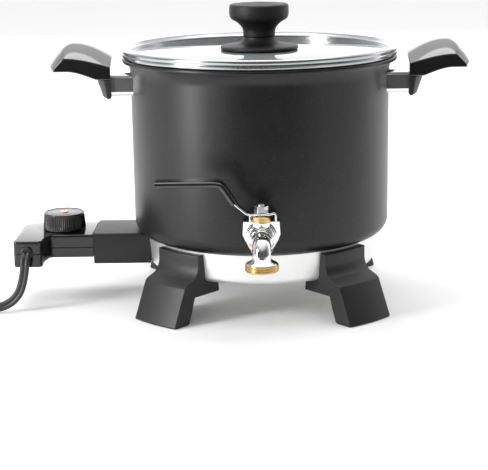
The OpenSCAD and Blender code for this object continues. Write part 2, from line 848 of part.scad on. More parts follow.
module knob_head() {
    neck = knob_neck_r;
    top = knob_z + knob_h;
    color("#262626") difference() {
        rotate_extrude() polygon(concat(
            [[0, seam_z], [neck, seam_z]],
            [[neck, top - 26.5]],
            [for (k = [1:6]) let (t = k / 6)
                [neck + (knob_r - 3.5 - neck) * t * t * (1.3 - 0.3 * t), top - 26.5 + 11.5 * pow(t, 0.8)]],
            [[knob_r - 0.9, top - 11.5], [knob_r, top - 8.5], [knob_r - 0.2, top - 4.4]],
            arc([knob_r - 2.4, top - 4], 2, 0, 80, 3),
            [[0.6 * knob_r, top - 0.9], [0.3 * knob_r, top - 0.2], [0, top]]
        ));
        translate([0, 0, seam_z - 1]) cylinder(h = 9, r = screw_r);
    }
}

module knob_foot() {
    neck = knob_neck_r;
    color("#262626") difference() {
        rotate_extrude() polygon(concat(
            [[0, knob_z], [knob_disc_r - 2, knob_z]],
            arc([knob_disc_r - 1.9, knob_z + 1.9], 1.9, 290, 430, 5),
            [[knob_disc_r - 5, knob_z + 4.2], [neck + 6, knob_z + 5], [neck + 2.5, knob_z + 6.3],
                [neck + 0.6, knob_z + 8.6], [neck - 0.2, seam_z], [0, seam_z]]
        ));
        translate([0, 0, knob_z - 1]) cylinder(h = knob_h, r = screw_r);
    }
}

module knob_washer() {
    color("#262626") translate([0, 0, glass_z - washer_t]) difference() {
        cylinder(h = washer_t, r = knob_neck_r + 0.8);
        translate([0, 0, -1]) cylinder(h = washer_t + 2, r = screw_r);
        translate([0, 0, -1]) cylinder(h = 3.5, r = 5.5);
    }
}

module knob_screw() {
    head_z = glass_z - washer_t + 2.5;
    color("silver") {
        translate([0, 0, head_z - 2.4]) cylinder(h = 2.4, r = 4.6);
        translate([0, 0, head_z]) cylinder(h = seam_z + 7.5 - head_z, r = screw_r);
    }
}

// ---- Probe socket ----

module socket_housing() {
    inner_w = socket_w - 2 * socket_wall;
    inner_h = socket_h - 2 * socket_wall;
    back_r = base_r + socket_wall;
    color("#242424") difference() {
        translate([-socket_end, -socket_w / 2, socket_z]) cube([socket_l + 20, socket_w, socket_h]);
        base_solid();
        pot_foot_cutter(slide_gap);
        difference() {
            translate([-socket_end - 1, -inner_w / 2, socket_z + socket_wall])
                cube([socket_l + 20, inner_w, inner_h]);
            cylinder(h = pot_z, r = back_r, $fn = 144);
        }
        for (y = [-pin_y, pin_y]) along_x(base_low_r - 8, y, element_z) cylinder(h = 24, r = bush_r);
        along_x(base_low_r - 8, 0, element_z) cylinder(h = 24, r = well_r);
        for (y = [-22, 22]) along_x(base_low_r - 12, y, element_z) cylinder(h = 24, r = 1.5);
    }
}

module socket_screws() {
    seat = sqrt(pow(base_r + socket_wall, 2) - pow(22 - 2.8, 2));
    color("silver") for (y = [-22, 22]) along_x(seat, y, element_z) {
        cylinder(h = 2.4, r = 2.8);
        translate([0, 0, -9]) cylinder(h = 10, r = 1.5);
    }
}

// ---- Probe ----

// Outline of the probe's body in plan, or the same drawn in by a wall
module probe_plan(inset = 0) {
    front = probe_front + inset;
    back = probe_back - inset;
    far = -probe_end + inset;
    block_x = -probe_end + block_w - inset;
    edge = block_front + inset;
    mid_y = probe_back - corner_r;
    mid_x = -probe_end + corner_r;
    translate([mid_x, front]) square([-mid_x - probe_face - inset, back - front]);
    translate([mid_x, mid_y]) circle(r = corner_r - inset);
    translate([far, edge + 3]) square([corner_r, mid_y - edge - 3]);
    polygon([
        [far + 3, edge], [block_x - 3.5, edge], [block_x, edge + 3.5], [block_x + 4.5, front - 2.5],
        [block_x + 8, front], [block_x + 8, front + 6], [far + 3, front + 6]
    ]);
    translate([far + 3, edge + 3]) circle(r = 3);
}

module tongue_plan(inset = 0) {
    half = tongue_w - inset;
    translate([-probe_face - 6, -half]) square([probe_face + 6 - tongue_end - inset, 2 * half]);
}

module tongue_holes() {
    for (y = [-pin_y, pin_y]) along_x(tongue_end - 2, y, element_z) cylinder(h = 26, r = contact_r);
    along_x(tongue_end - 2, 0, element_z) cylinder(h = 26, r = rod_r);
}

module probe_screw_places() {
    translate([-socket_end - 7, probe_back - 6]) children();
    translate([-socket_end - 7, probe_front + 6]) children();
    translate([-probe_end + 9, probe_back - 16]) children();
}

// A slab of the probe's outline, and of its tongue's, between two heights
module probe_slab(low, high, inset = 0) {
    translate([0, 0, low]) linear_extrude(height = high - low) probe_plan(inset);
}

module tongue_slab(low, high, inset = 0) {
    translate([0, 0, low]) linear_extrude(height = high - low) tongue_plan(inset);
}

module probe_upper_shell() {
    low = probe_split;
    color("#161616") difference() {
        union() {
            probe_slab(low, probe_top);
            tongue_slab(low, tongue_top);
        }
        difference() {
            union() {
                probe_slab(low - 1, probe_top - probe_wall, probe_wall);
                tongue_slab(low - 1, tongue_top - probe_wall, probe_wall);
            }
            probe_screw_places() translate([0, 0, low]) cylinder(h = probe_h, r = 3.5);
        }
        probe_screw_places() translate([0, 0, low - 1]) cylinder(h = 7, r = 1.5);
        translate([-dial_x, 0, low]) cylinder(h = probe_h, r = shaft_r + run_gap);
        tongue_holes();
        boot_hole();
    }
}

module probe_lower_shell() {
    high = probe_split;
    color("#161616") difference() {
        union() {
            probe_slab(probe_low, high);
            tongue_slab(tongue_low, high);
            intersection() {
                probe_slab(block_low, high);
                translate([-probe_end, block_front, block_low])
                    cube([block_w, probe_front - block_front + 3, probe_h]);
            }
        }
        difference() {
            union() {
                probe_slab(probe_low + probe_wall, high + 1, probe_wall);
                tongue_slab(tongue_low + probe_wall, high + 1, probe_wall);
            }
            probe_screw_places() translate([0, 0, probe_low]) cylinder(h = high - probe_low, r = 3.5);
        }
        probe_screw_places() {
            translate([0, 0, block_low]) cylinder(h = probe_h, r = 1.5);
            translate([0, 0, block_low]) cylinder(h = probe_low - block_low + 2.5, r = 2.9);
        }
        tongue_holes();
        boot_hole();
    }
}

module probe_screws() {
    color("silver") probe_screw_places() {
        translate([0, 0, probe_low + 0.5]) cylinder(h = 2, r = 2.8);
        translate([0, 0, probe_low + 2.5]) cylinder(h = probe_split - probe_low + 3, r = 1.5);
    }
}

module probe_contacts() {
    color("goldenrod") for (y = [-pin_y, pin_y]) along_x(tongue_end, y, element_z) difference() {
        cylinder(h = tongue_l, r = contact_r);
        translate([0, 0, -1]) cylinder(h = tongue_l - 3, r = pin_r + slide_gap);
    }
}

module sensor_rod() {
    color("silver") along_x(rod_end, 0, element_z) cylinder(h = socket_end + 8 - rod_end, r = rod_r);
}

module thermostat() {
    color("tan") difference() {
        translate([-dial_x - 14, -11, probe_low + probe_wall])
            cube([dial_x + 14 - socket_end - 8, 22, probe_h - 2 * probe_wall - 2]);
        translate([-dial_x, 0, element_z]) cylinder(h = probe_h, r = shaft_r + run_gap);
    }
}

module dial_shaft() {
    color("silver") translate([-dial_x, 0, element_z + 0.3])
        cylinder(h = probe_top + 8 - element_z, r = shaft_r);
}

module dial_knob() {
    color("#1a1a1a") difference() {
        translate([-dial_x, 0, probe_top + 0.3]) rotate_extrude() polygon([
            [0, 0], [dial_r, 0], [dial_r - 1.3, dial_h - 1], [dial_r - 2.2, dial_h], [dial_r - 3.4, dial_h],
            [dial_r - 3.4, dial_h - 0.8], [0, dial_h - 0.8]
        ]);
        translate([-dial_x, 0, probe_top]) cylinder(h = 8.3, r = shaft_r);
        translate([-dial_x, 0, probe_top]) cylinder(h = dial_h + 1, r = 1.8);
    }
}

module dial_plate() {
    color("silver") translate([-dial_x, 0, probe_top + dial_h - 0.5]) difference() {
        cylinder(h = 0.6, r = dial_r - 3.4);
        translate([0, 0, -1]) cylinder(h = 3, r = 4);
    }
}

module indicator_lens() {
    color("orange") translate([-dial_x, 0, probe_top]) {
        translate([0, 0, 8.4]) cylinder(h = dial_h - 8.9, r = 1.8);
        translate([0, 0, dial_h - 0.5]) cylinder(h = 1.4, r = 4);
    }
}

// ---- Cord ----

module boot_hole() {
    translate([boot_x, block_front + 8, boot_z]) rotate([90, 0, 0]) cylinder(h = 12, r = 5);
}

module cord_boot() {
    color("#303030") translate([boot_x, block_front, boot_z]) rotate([90, 0, 0]) {
        translate([0, 0, -6]) cylinder(h = 6, r = 5);
        translate([0, 0, -6]) cylinder(h = 4, r = 6.5);
        cylinder(h = 4, r1 = 5.6, r2 = 5);
    }
}

function route_at(i) = [boot_x, block_front, boot_z] + route[i];

module cord() {
    sides = 10;
    n = len(route);
    function heading(i) = i == 0 ? unit([0, -1, -0.001]) : unit(route[min(i + 1, n - 1)] - route[i - 1]);
    function ring(i) = let (
        t = heading(i),
        wide = unit(cross(t, [0, -1, 0])),
        thin = unit(cross(wide, t))
    ) [for (k = [0:sides - 1]) let (a = 360 * k / sides)
        route_at(i) + wide * cord_w / 2 * cos(a) + thin * cord_t / 2 * sin(a)];
    points = [for (i = [0:n - 1]) each ring(i)];
    faces = concat(
        [[for (k = [sides - 1:-1:0]) k], [for (k = [0:sides - 1]) (n - 1) * sides + k]],
        [for (i = [0:n - 2], k = [0:sides - 1]) let (m = (k + 1) % sides)
            [i * sides + k, i * sides + m, (i + 1) * sides + m]],
        [for (i = [0:n - 2], k = [0:sides - 1]) let (m = (k + 1) % sides)
            [i * sides + k, (i + 1) * sides + m, (i + 1) * sides + k]]
    );
    color("#2e2e2e") polyhedron(points, faces, convexity = 6);
}

// The rest of the cord lies wound up; its last run meets the ring's outer side
module coil_ring() {
    translate(coil_centre) rotate_extrude() translate([coil_in_r, 0])
        square([coil_out_r - coil_in_r, cord_w + 0.2]);
}

module cord_coil() {
    color("#2e2e2e") coil_ring();
}

module cord_tie() {
    color("#3a3a3a") difference() {
        translate(coil_centre) rotate([0, 0, 200]) translate([coil_in_r - 1, -4, 0])
            cube([coil_out_r - coil_in_r + 2, 8, cord_w + 1.2]);
        coil_ring();
    }
}

// The plug lies inside the ring and touches its inner side; behind it is room for the last bend
module at_plug() {
    translate(coil_centre) rotate([0, 0, plug_turn]) translate([plug_mid, plug_back, 0])
        rotate([0, 0, -90]) children();
}

module plug_body() {
    color("#242424") intersection() {
        at_plug() difference() {
            translate([0, -plug_w / 2, 0]) cube([plug_l, plug_w, plug_h]);
            for (y = [-blade_y, blade_y]) translate([plug_l - 8, y - 0.8, plug_h / 2 - 3.2])
                cube([9, 1.6, 6.4]);
        }
        translate(coil_centre) cylinder(h = plug_h, r = coil_in_r);
    }
}

module plug_blades() {
    color("silver") at_plug() for (y = [-blade_y, blade_y]) translate([plug_l - 8, y - 0.8, plug_h / 2 - 3.2])
        cube([8 + blade_l, 1.6, 6.4]);
}

pot_shell();
base_ring();
heating_plate();
heating_element();
element_bushings();
sensor_well();
base_stud();
base_nut();
socket_housing();
socket_screws();
foot_front_left();
foot_front_right();
foot_rear_left();
foot_rear_right();
foot_screws();
handle_left_grip();
handle_left_post();
handle_left_bracket();
handle_right_grip();
handle_right_post();
handle_right_bracket();
handle_screws();
bracket_rivets();
valve_body();
valve_spout();
valve_locknut();
valve_inner_seal();
valve_outer_seal();
valve_seats();
outlet_thread();
stem_packing();
gland_nut();
valve_ball();
valve_stem();
lever_plate();
lever_sleeve();
lever_nut();
lid_glass();
lid_rim();
knob_head();
knob_foot();
knob_washer();
knob_screw();
probe_upper_shell();
probe_lower_shell();
probe_screws();
probe_contacts();
sensor_rod();
thermostat();
cord_boot();
cord();
cord_coil();
cord_tie();
plug_body();
plug_blades();
dial_knob();
dial_plate();
dial_shaft();
indicator_lens();
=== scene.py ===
# %% [markdown]
# # Candle melting pot
# A deep aluminium pot on an electric base melts wax, which a small ball valve at the front lets out.
# A glass lid, two bracketed handles and four feet complete it, and a plug-in probe with a dial heats it.
# The pieces below take the place of the plain CAD pieces that the eye meets. The rest of the CAD stays
# as it is and only gets its finishes. Lengths are written in millimetres and turned into metres once.

import json

import bmesh
import bpy
import numpy as np
from mathutils import Matrix, Vector

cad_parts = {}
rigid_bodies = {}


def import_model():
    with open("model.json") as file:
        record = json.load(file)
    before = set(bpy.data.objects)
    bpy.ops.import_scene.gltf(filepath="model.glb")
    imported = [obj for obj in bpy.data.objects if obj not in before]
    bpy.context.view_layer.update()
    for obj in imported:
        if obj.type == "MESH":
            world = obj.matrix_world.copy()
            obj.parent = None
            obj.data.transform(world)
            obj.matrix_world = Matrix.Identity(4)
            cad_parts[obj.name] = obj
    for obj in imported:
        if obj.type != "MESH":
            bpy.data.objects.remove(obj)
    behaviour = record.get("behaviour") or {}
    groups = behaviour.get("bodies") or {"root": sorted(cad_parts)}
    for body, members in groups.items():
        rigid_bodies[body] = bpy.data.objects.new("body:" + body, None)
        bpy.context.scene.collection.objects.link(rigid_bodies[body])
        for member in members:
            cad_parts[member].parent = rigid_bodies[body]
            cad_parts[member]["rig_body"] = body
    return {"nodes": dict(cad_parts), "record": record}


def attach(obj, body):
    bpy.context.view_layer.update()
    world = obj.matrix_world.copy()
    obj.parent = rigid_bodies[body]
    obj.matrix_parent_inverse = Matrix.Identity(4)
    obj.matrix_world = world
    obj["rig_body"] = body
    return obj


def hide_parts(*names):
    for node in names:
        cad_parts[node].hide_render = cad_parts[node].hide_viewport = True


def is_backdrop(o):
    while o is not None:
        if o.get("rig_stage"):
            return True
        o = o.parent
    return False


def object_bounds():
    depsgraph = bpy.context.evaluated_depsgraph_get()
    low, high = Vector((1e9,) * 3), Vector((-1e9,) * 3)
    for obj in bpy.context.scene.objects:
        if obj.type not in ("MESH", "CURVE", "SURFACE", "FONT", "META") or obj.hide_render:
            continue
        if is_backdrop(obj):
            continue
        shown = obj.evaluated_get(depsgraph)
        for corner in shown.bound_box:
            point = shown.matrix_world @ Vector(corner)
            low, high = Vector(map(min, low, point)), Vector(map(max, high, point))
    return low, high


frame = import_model()
low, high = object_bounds()
size = [round(1000 * (b - a), 1) for a, b in zip(low, high)]
print("CAD pieces:", len(frame["nodes"]), "size in mm:", size)

# %% [markdown]
# ## Camera
# A product is best seen from far off with a long lens, so that its upright sides stay nearly parallel.
# The camera could look at an empty through a constraint, but three plain turns also give it its lean: it
# heads a little to the left, looks down, and leans by about one degree.

# %% Camera
CAMERA_AT = (0, -1.22576, 0.35097)
HEADING, LOOKS_DOWN, LEAN = 0.74, 13.70, -0.85


def turn(axis, degrees):
    """A turn about one axis, by an angle in degrees."""
    return Matrix.Rotation(np.radians(degrees), 4, axis)


camera_data = bpy.data.cameras.new("camera")
camera_data.lens, camera_data.sensor_width = 102.98, 36
camera_data.clip_start, camera_data.clip_end = 0.05, 20
camera = bpy.data.objects.new("camera", camera_data)
bpy.context.scene.collection.objects.link(camera)
turned_to = turn("Z", HEADING) @ turn("X", 90 - LOOKS_DOWN) @ turn("Z", LEAN)
camera.matrix_world = Matrix.Translation(CAMERA_AT) @ turned_to
bpy.context.scene.camera = camera
print("camera", camera.location[:], "lens", camera_data.lens)

# %% [markdown]
# ## Forms
# Nearly every piece is one of four forms: a profile turned about an axis, an outline drawn up into a
# slab, a section carried along a path, or a surface given by a formula in two parameters. All four are
# nets of quads over rows of points, so one helper makes the faces for all of them. Modifiers such as
# Screw could turn a profile as well, but points from formulas are exact and need no applying.

# %% Nets of points
MM = 0.001
SIDES = 128


def grid(points, wrap_u=False, wrap_v=False, caps=(False, False)):
    """A net of quads over points[u, v]. A wrapped direction joins its last row to its first one, and a cap
    closes the first or the last row of u with one flat face."""
    points = np.asarray(points, float)
    nu, nv = points.shape[:2]
    at = np.arange(nu * nv).reshape(nu, nv)
    ends = [at[0], at[-1][::-1]]
    if wrap_u:
        at = np.vstack([at, at[:1]])
    if wrap_v:
        at = np.hstack([at, at[:, :1]])
    quads = np.stack([at[:-1, :-1], at[1:, :-1], at[1:, 1:], at[:-1, 1:]], -1).reshape(-1, 4).tolist()
    return points.reshape(-1, 3), quads + [end.tolist() for end, cap in zip(ends, caps) if cap]


def arc(x, y, r, start, end, n=8):
    """Points on a circle about (x, y), from one angle to another, in degrees."""
    a = np.radians(np.linspace(start, end, n + 1))
    return np.stack([x + r * np.cos(a), y + r * np.sin(a)], -1)


def path(*parts):
    """One line of points out of single points and rows of points. A point that repeats the one before it
    is left out."""
    line = np.vstack([np.atleast_2d(np.asarray(p, float)) for p in parts])
    return line[np.r_[True, np.linalg.norm(np.diff(line, axis=0), axis=1) > 1e-6]]


def rounded(w, h, r, n=5):
    """A rectangle of width w and height h with round corners, about its middle."""
    x, y = w / 2 - r, h / 2 - r
    return path(
        arc(x, y, r, 0, 90, n), arc(-x, y, r, 90, 180, n),
        arc(-x, -y, r, 180, 270, n), arc(x, -y, r, 270, 360, n),
    )


def smooth(line, r, n=5):
    """The line with each inner corner replaced by a short curve that starts r before it and ends r after."""
    line = np.asarray(line, float)
    out = [line[:1]]
    t = np.linspace(0, 1, n + 1)[:, None]
    for a, b, c in zip(line[:-2], line[1:-1], line[2:]):
        p = b + (a - b) * min(0.45, r / np.linalg.norm(a - b))
        q = b + (c - b) * min(0.45, r / np.linalg.norm(c - b))
        out.append((1 - t) ** 2 * p + 2 * t * (1 - t) * b + t**2 * q)
    return np.vstack(out + [line[-1:]])


print("a round rectangle has", len(rounded(2, 1, 0.2)), "points")

# %% [markdown]
# The three solid forms place their flat points by the same rule: two directions across and one along.
# Turning, drawing up and carrying differ only in what happens between one row of points and the next.

# %% Turned, drawn and carried forms
AXES = {
    "z": ((1, 0, 0), (0, 1, 0), (0, 0, 1)),
    "y": ((1, 0, 0), (0, 0, 1), (0, -1, 0)),
    "x": ((0, 1, 0), (0, 0, 1), (1, 0, 0)),
}


def turned(profile, origin=(0, 0, 0), axis="z", sides=SIDES, closed=False, wave=None):
    """The profile's points (r, h) turned about an axis: origin + r (cos a, sin a) across it and h along it.
    wave(a, r, h) may add to the radius, for ribs or a thread. A profile that comes back to its own start
    is closed."""
    e1, e2, e3 = (np.array(v, float) for v in AXES[axis])
    a = np.linspace(0, 2 * np.pi, sides, endpoint=False)[:, None]
    r, h = np.asarray(profile, float).T
    rr = r + (wave(a, r, h) if wave else 0 * a)
    points = (rr * np.cos(a))[..., None] * e1 + (rr * np.sin(a))[..., None] * e2 + (h + 0 * a)[..., None] * e3
    return grid(points + np.array(origin, float), True, closed)


def slab(outline, levels, origin=(0, 0, 0), axis="z"):
    """The outline's points (a, b) repeated at each level along an axis, and closed by flat ends."""
    e1, e2, e3 = (np.array(v, float) for v in AXES[axis])
    flat = outline[:, :1] * e1 + outline[:, 1:] * e2
    points = flat[None] + np.asarray(levels, float)[:, None, None] * e3
    return grid(points + np.array(origin, float), wrap_v=True, caps=(True, True))


def carried(line, section, wide=(0, 1, 0), caps=(True, True)):
    """The section's points (a, b) carried along a line: a runs along the wide direction, and b across it and
    the line's own heading, which is the difference of the neighbouring points."""
    line = np.asarray(line, float)
    heading = np.gradient(line, axis=0)
    heading /= np.linalg.norm(heading, axis=1, keepdims=True)
    wide = np.broadcast_to(np.asarray(wide, float), line.shape)
    thin = np.cross(heading, wide)
    thin /= np.linalg.norm(thin, axis=1, keepdims=True)
    wide = np.cross(thin, heading)
    a, b = section.T
    points = line[:, None] + a[None, :, None] * wide[:, None] + b[None, :, None] * thin[:, None]
    return grid(points, wrap_v=True, caps=caps)


print("a turned bar has", len(turned([[0, 0], [1, 0], [1, 2], [0, 2]])[1]), "faces")

# %% [markdown]
# One object may hold several forms. Joining them in one mesh keeps a real moulding or casting as one
# piece. Its edges are rounded by a bevel rather than by subdivision, so that the faces stay few.

# %% Pieces
pieces = {}


def piece(name, forms, nodes, slot, bevel=0, crease=38, look=None):
    """One object out of several forms, in place of the CAD nodes named. Points that coincide are joined,
    faces turn outwards, edges sharper than crease degrees stay crisp, and a bevel rounds them with a few
    faces. Its finish is that of its slot, unless look names another one."""
    points, faces, first = [], [], 0
    for p, f in forms:
        points.append(p)
        faces += [[first + k for k in face] for face in f]
        first += len(p)
    mesh = bpy.data.meshes.new(name)
    mesh.from_pydata((np.vstack(points) * MM).tolist(), [], faces)
    work = bmesh.new()
    work.from_mesh(mesh)
    bmesh.ops.remove_doubles(work, verts=work.verts, dist=1e-7)
    bmesh.ops.recalc_face_normals(work, faces=work.faces)
    work.to_mesh(mesh)
    work.free()
    mesh.shade_smooth()
    mesh.set_sharp_from_angle(angle=np.radians(crease))
    obj = bpy.data.objects.new(name, mesh)
    bpy.context.scene.collection.objects.link(obj)
    if bevel:
        modifier = obj.modifiers.new("edges", "BEVEL")
        modifier.width, modifier.segments = bevel * MM, 3
        modifier.limit_method, modifier.angle_limit = "ANGLE", np.radians(crease)
        modifier.harden_normals = True
    mesh.materials.append(mats[look or slot])
    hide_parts(*nodes)
    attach(obj, frame["nodes"][nodes[0]]["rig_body"])
    pieces[name] = obj
    print(f"{name}: {len(mesh.polygons)} faces, size in mm {[round(1000 * d, 1) for d in obj.dimensions]}")
    return obj


# %% [markdown]
# ## Finishes
# Each finish starts from two close colours that a fine noise mixes, and lets the roughness wander a
# little, because nothing moulded, cast or rolled is even. Patterns are laid on object coordinates, whose
# unit is the metre, so 1000 / size gives a grain of that size in millimetres. One function makes them
# all, so that a change of method reaches every finish.

# %% Shader helpers
def colour(code):
    """A colour written as in a paint chart, #rrggbb, as linear light."""
    c = np.array([int(code[i : i + 2], 16) for i in (1, 3, 5)]) / 255
    c = np.where(c <= 0.04045, c / 12.92, ((c + 0.055) / 1.055) ** 2.4)
    return (*c.tolist(), 1.0)


def add(tree, kind, settings=None, sockets=None):
    """Adds one shader node, sets its properties, and fills or links its inputs by name or number."""
    node = tree.nodes.new("ShaderNode" + kind)
    for key, value in (settings or {}).items():
        setattr(node, key, value)
    for key, value in (sockets or {}).items():
        if isinstance(value, bpy.types.NodeSocket):
            tree.links.new(value, node.inputs[key])
        else:
            node.inputs[key].default_value = value
    return node


def maths(tree, operation, *values):
    """One step of arithmetic on numbers or sockets."""
    return add(tree, "Math", {"operation": operation}, dict(enumerate(values))).outputs[0]


def new_material(name):
    """An empty node material: itself, its tree, the object coordinates and the output node."""
    material = bpy.data.materials.new(name)
    material.use_nodes = True
    tree = material.node_tree
    tree.nodes.clear()
    return material, tree, add(tree, "TexCoord").outputs["Object"], add(tree, "OutputMaterial")


def spotted(tree, place, base, spot, size, share):
    """The base colour with small round spots: a share of the cells of a scattered pattern gets one each."""
    cells = add(tree, "TexVoronoi", None, {"Vector": place, "Scale": 1000 / size, "Randomness": 1.0})
    from_middle = cells.outputs["Distance"]
    near = add(tree, "MapRange", None, {"Value": from_middle, "From Min": 0.30, "From Max": 0.16})
    pick = add(tree, "SeparateColor", None, {"Color": cells.outputs["Color"]}).outputs[0]
    spots = maths(tree, "MULTIPLY", near.outputs[0], maths(tree, "LESS_THAN", pick, share))
    return add(tree, "MixRGB", None, {"Fac": spots, "Color1": base, "Color2": colour(spot)}).outputs[0]


def finish(
    name, dark, light, rough, metal=0.0, grain=1.0, bump=0.02, stretch=(1, 1, 1), coat=0.0, speck=None,
    more=None,
):
    """A solid finish: dark and light are its two colours, rough its two roughnesses, grain the size of its
    texture and bump that texture's depth, both in millimetres, and stretch squeezes the grain along an
    axis for a brushed surface. speck = (colour, size, share) scatters small spots."""
    material, tree, place, out = new_material(name)
    laid = add(tree, "VectorMath", {"operation": "MULTIPLY"}, {0: place, 1: stretch}).outputs[0]
    fine = add(tree, "TexNoise", None, {"Vector": laid, "Scale": 1000 / grain, "Detail": 3.0}).outputs["Fac"]
    coarse = 1000 / (18 * grain + 12)
    broad = add(tree, "TexNoise", None, {"Vector": place, "Scale": coarse, "Detail": 2.0}).outputs["Fac"]
    both = maths(tree, "MULTIPLY_ADD", fine, 0.5, maths(tree, "MULTIPLY", broad, 0.5))
    tone = add(tree, "MapRange", None, {"Value": both, "From Min": 0.35, "From Max": 0.65}).outputs[0]
    mix = add(tree, "MixRGB", None, {"Fac": tone, "Color1": colour(dark), "Color2": colour(light)}).outputs[0]
    if speck:
        mix = spotted(tree, place, mix, *speck)
    gloss = add(tree, "MapRange", None, {
        "Value": both, "From Min": 0.3, "From Max": 0.7, "To Min": rough[0], "To Max": rough[1],
    })
    relief = add(tree, "Bump", None, {"Height": fine, "Strength": 0.5, "Distance": bump * MM})
    shader = add(tree, "BsdfPrincipled", None, {
        "Base Color": mix, "Roughness": gloss.outputs[0], "Metallic": metal, "Normal": relief.outputs[0],
        "Coat Weight": coat, "Coat Roughness": 0.08, **(more or {}),
    })
    tree.links.new(shader.outputs[0], out.inputs["Surface"])
    return material


print("mid grey as linear light:", round(colour("#808080")[0], 3))

# %% [markdown]
# The list below goes from the pot outwards. The dark plastics differ mostly in how sharply they reflect,
# so their roughness matters more than their colour. The metals differ in colour and in how far their
# grain is drawn out by rolling, spinning or polishing.

# %% Finishes
mats = {
    # A sprayed non-stick coat: dark grey, a soft sheen, and pale specks that only show near by
    "pot_coating": finish(
        "speckled non-stick coating", "#09090a", "#111112", (0.31, 0.36), grain=0.5, bump=0.04,
        speck=("#3c3c3c", 0.9, 0.3), more={"Specular IOR Level": 0.42},
    ),
    # Spun aluminium under a clear satin coat: pale, even, blurred reflections
    "base_aluminium": finish(
        "satin spun aluminium", "#c2c2c2", "#cccccc", (0.40, 0.46), metal=0.65, grain=0.6, bump=0.006,
        stretch=(0.2, 0.2, 6),
    ),
    # Die-cast heater body: dull grey with a fine sand-like skin
    "heater_aluminium": finish(
        "die-cast aluminium", "#8f9092", "#a3a4a6", (0.45, 0.6), metal=0.9, grain=0.8, bump=0.05
    ),
    # Heater tube: warm grey oxide from its first heating
    "element_steel": finish(
        "heat-tinted steel", "#5d5a56", "#7d776f", (0.35, 0.5), metal=1.0, grain=1.5, bump=0.02
    ),
    # Ceramic bushings: off-white, chalky
    "insulator": finish("steatite ceramic", "#d8d2c4", "#e6e1d6", (0.6, 0.75), grain=0.7, bump=0.03),
    # Turned and zinc-plated screws, pins and the stem: bright with fine rings
    "steel": finish(
        "zinc-plated steel", "#b9bbbe", "#cdcfd2", (0.18, 0.28), metal=1.0, grain=0.4, bump=0.005
    ),
    # Phenolic feet: matt black with a fine mould texture that greys in the light
    "foot_plastic": finish(
        "textured black phenolic", "#121213", "#1a1a1b", (0.42, 0.5), grain=0.7, bump=0.08
    ),
    # Socket box: matt black phenolic, a little darker than the feet
    "socket_plastic": finish("matt black phenolic", "#0f0f0f", "#171718", (0.42, 0.5), grain=0.6, bump=0.05),
    # Handle grips: polished phenolic, soft reflections
    "handle_plastic": finish(
        "polished black phenolic", "#0e0e0f", "#151516", (0.12, 0.18), grain=1.2, bump=0.01, coat=1.0,
        more={"Specular IOR Level": 0.9},
    ),
    # Lid knob: smooth matt phenolic
    "knob_plastic": finish(
        "smooth dark phenolic", "#141415", "#1b1b1c", (0.48, 0.55), grain=0.8, bump=0.02,
        more={"Specular IOR Level": 0.35},
    ),
    # Handle brackets: pressed and polished aluminium sheet
    "bracket_aluminium": finish(
        "polished aluminium sheet", "#d6d7d8", "#e4e4e5", (0.14, 0.22), metal=1.0, grain=0.5, bump=0.004,
        stretch=(1, 0.15, 1),
    ),
    # Valve: cast brass under bright chrome, mirror-like with a slight waviness
    "valve_chrome": finish(
        "bright chrome plating", "#d9dadc", "#e6e7e8", (0.06, 0.11), metal=1.0, grain=1.5, bump=0.012
    ),
    # Outlet ring and gland: bare turned brass, warm and softly blurred
    "brass": finish("turned brass", "#c39c5c", "#d8b67c", (0.2, 0.3), metal=1.0, grain=0.5, bump=0.01),
    # Seals: black silicone, dull and even
    "seal_rubber": finish("black silicone", "#1c1c1c", "#262626", (0.5, 0.6), grain=0.8, bump=0.03),
    # Ball seats: white fluoropolymer, waxy
    "seat_plastic": finish("white fluoropolymer", "#e4e4e0", "#f0f0ec", (0.4, 0.5), grain=1.0, bump=0.01),
    # Dipped vinyl sleeve: glossy black, flowing skin
    "lever_vinyl": finish(
        "dipped black vinyl", "#0b0b0c", "#111112", (0.1, 0.15), grain=5.0, bump=0.03, coat=1.0
    ),
    # Lid rim: rolled stainless band, bright, its grain drawn out round the pot
    "rim_steel": finish(
        "rolled stainless steel", "#a6a7a8", "#b6b7b8", (0.17, 0.23), metal=1.0, grain=0.6, bump=0.003,
        stretch=(0.3, 0.3, 4),
    ),
    # Probe body: glossy black moulding
    "probe_plastic": finish(
        "glossy black moulding", "#0a0a0b", "#101011", (0.12, 0.18), grain=3.0, bump=0.012, coat=0.2
    ),
    # Thermostat block inside the probe: a tan laminate, fibrous and dull
    "control_board": finish("tan thermostat frame", "#8c7350", "#a0865f", (0.55, 0.7), grain=1.0, bump=0.03),
    # Flexible vinyl of the cord: dark grey, low sheen
    "cord_vinyl": finish("grey-black cord vinyl", "#232324", "#2d2d2e", (0.35, 0.45), grain=1.5, bump=0.03),
    # Moulded ends of the cord: the same vinyl, darker and with a finer skin
    "plug_vinyl": finish("moulded plug vinyl", "#1a1a1b", "#232324", (0.35, 0.45), grain=0.8, bump=0.03),
    # Dial: black moulding, a little duller than the body
    "dial_plastic": finish("satin black moulding", "#0e0e0e", "#151516", (0.2, 0.28), grain=0.8, bump=0.02),
    # Indicator: a clear amber cap with its lamp off
    "amber": finish(
        "amber acrylic", "#f0c060", "#ffe9a8", (0.08, 0.14), grain=2.0, bump=0.01,
        more={"Transmission Weight": 0.35},
    ),
}
print("solid finishes:", len(mats))
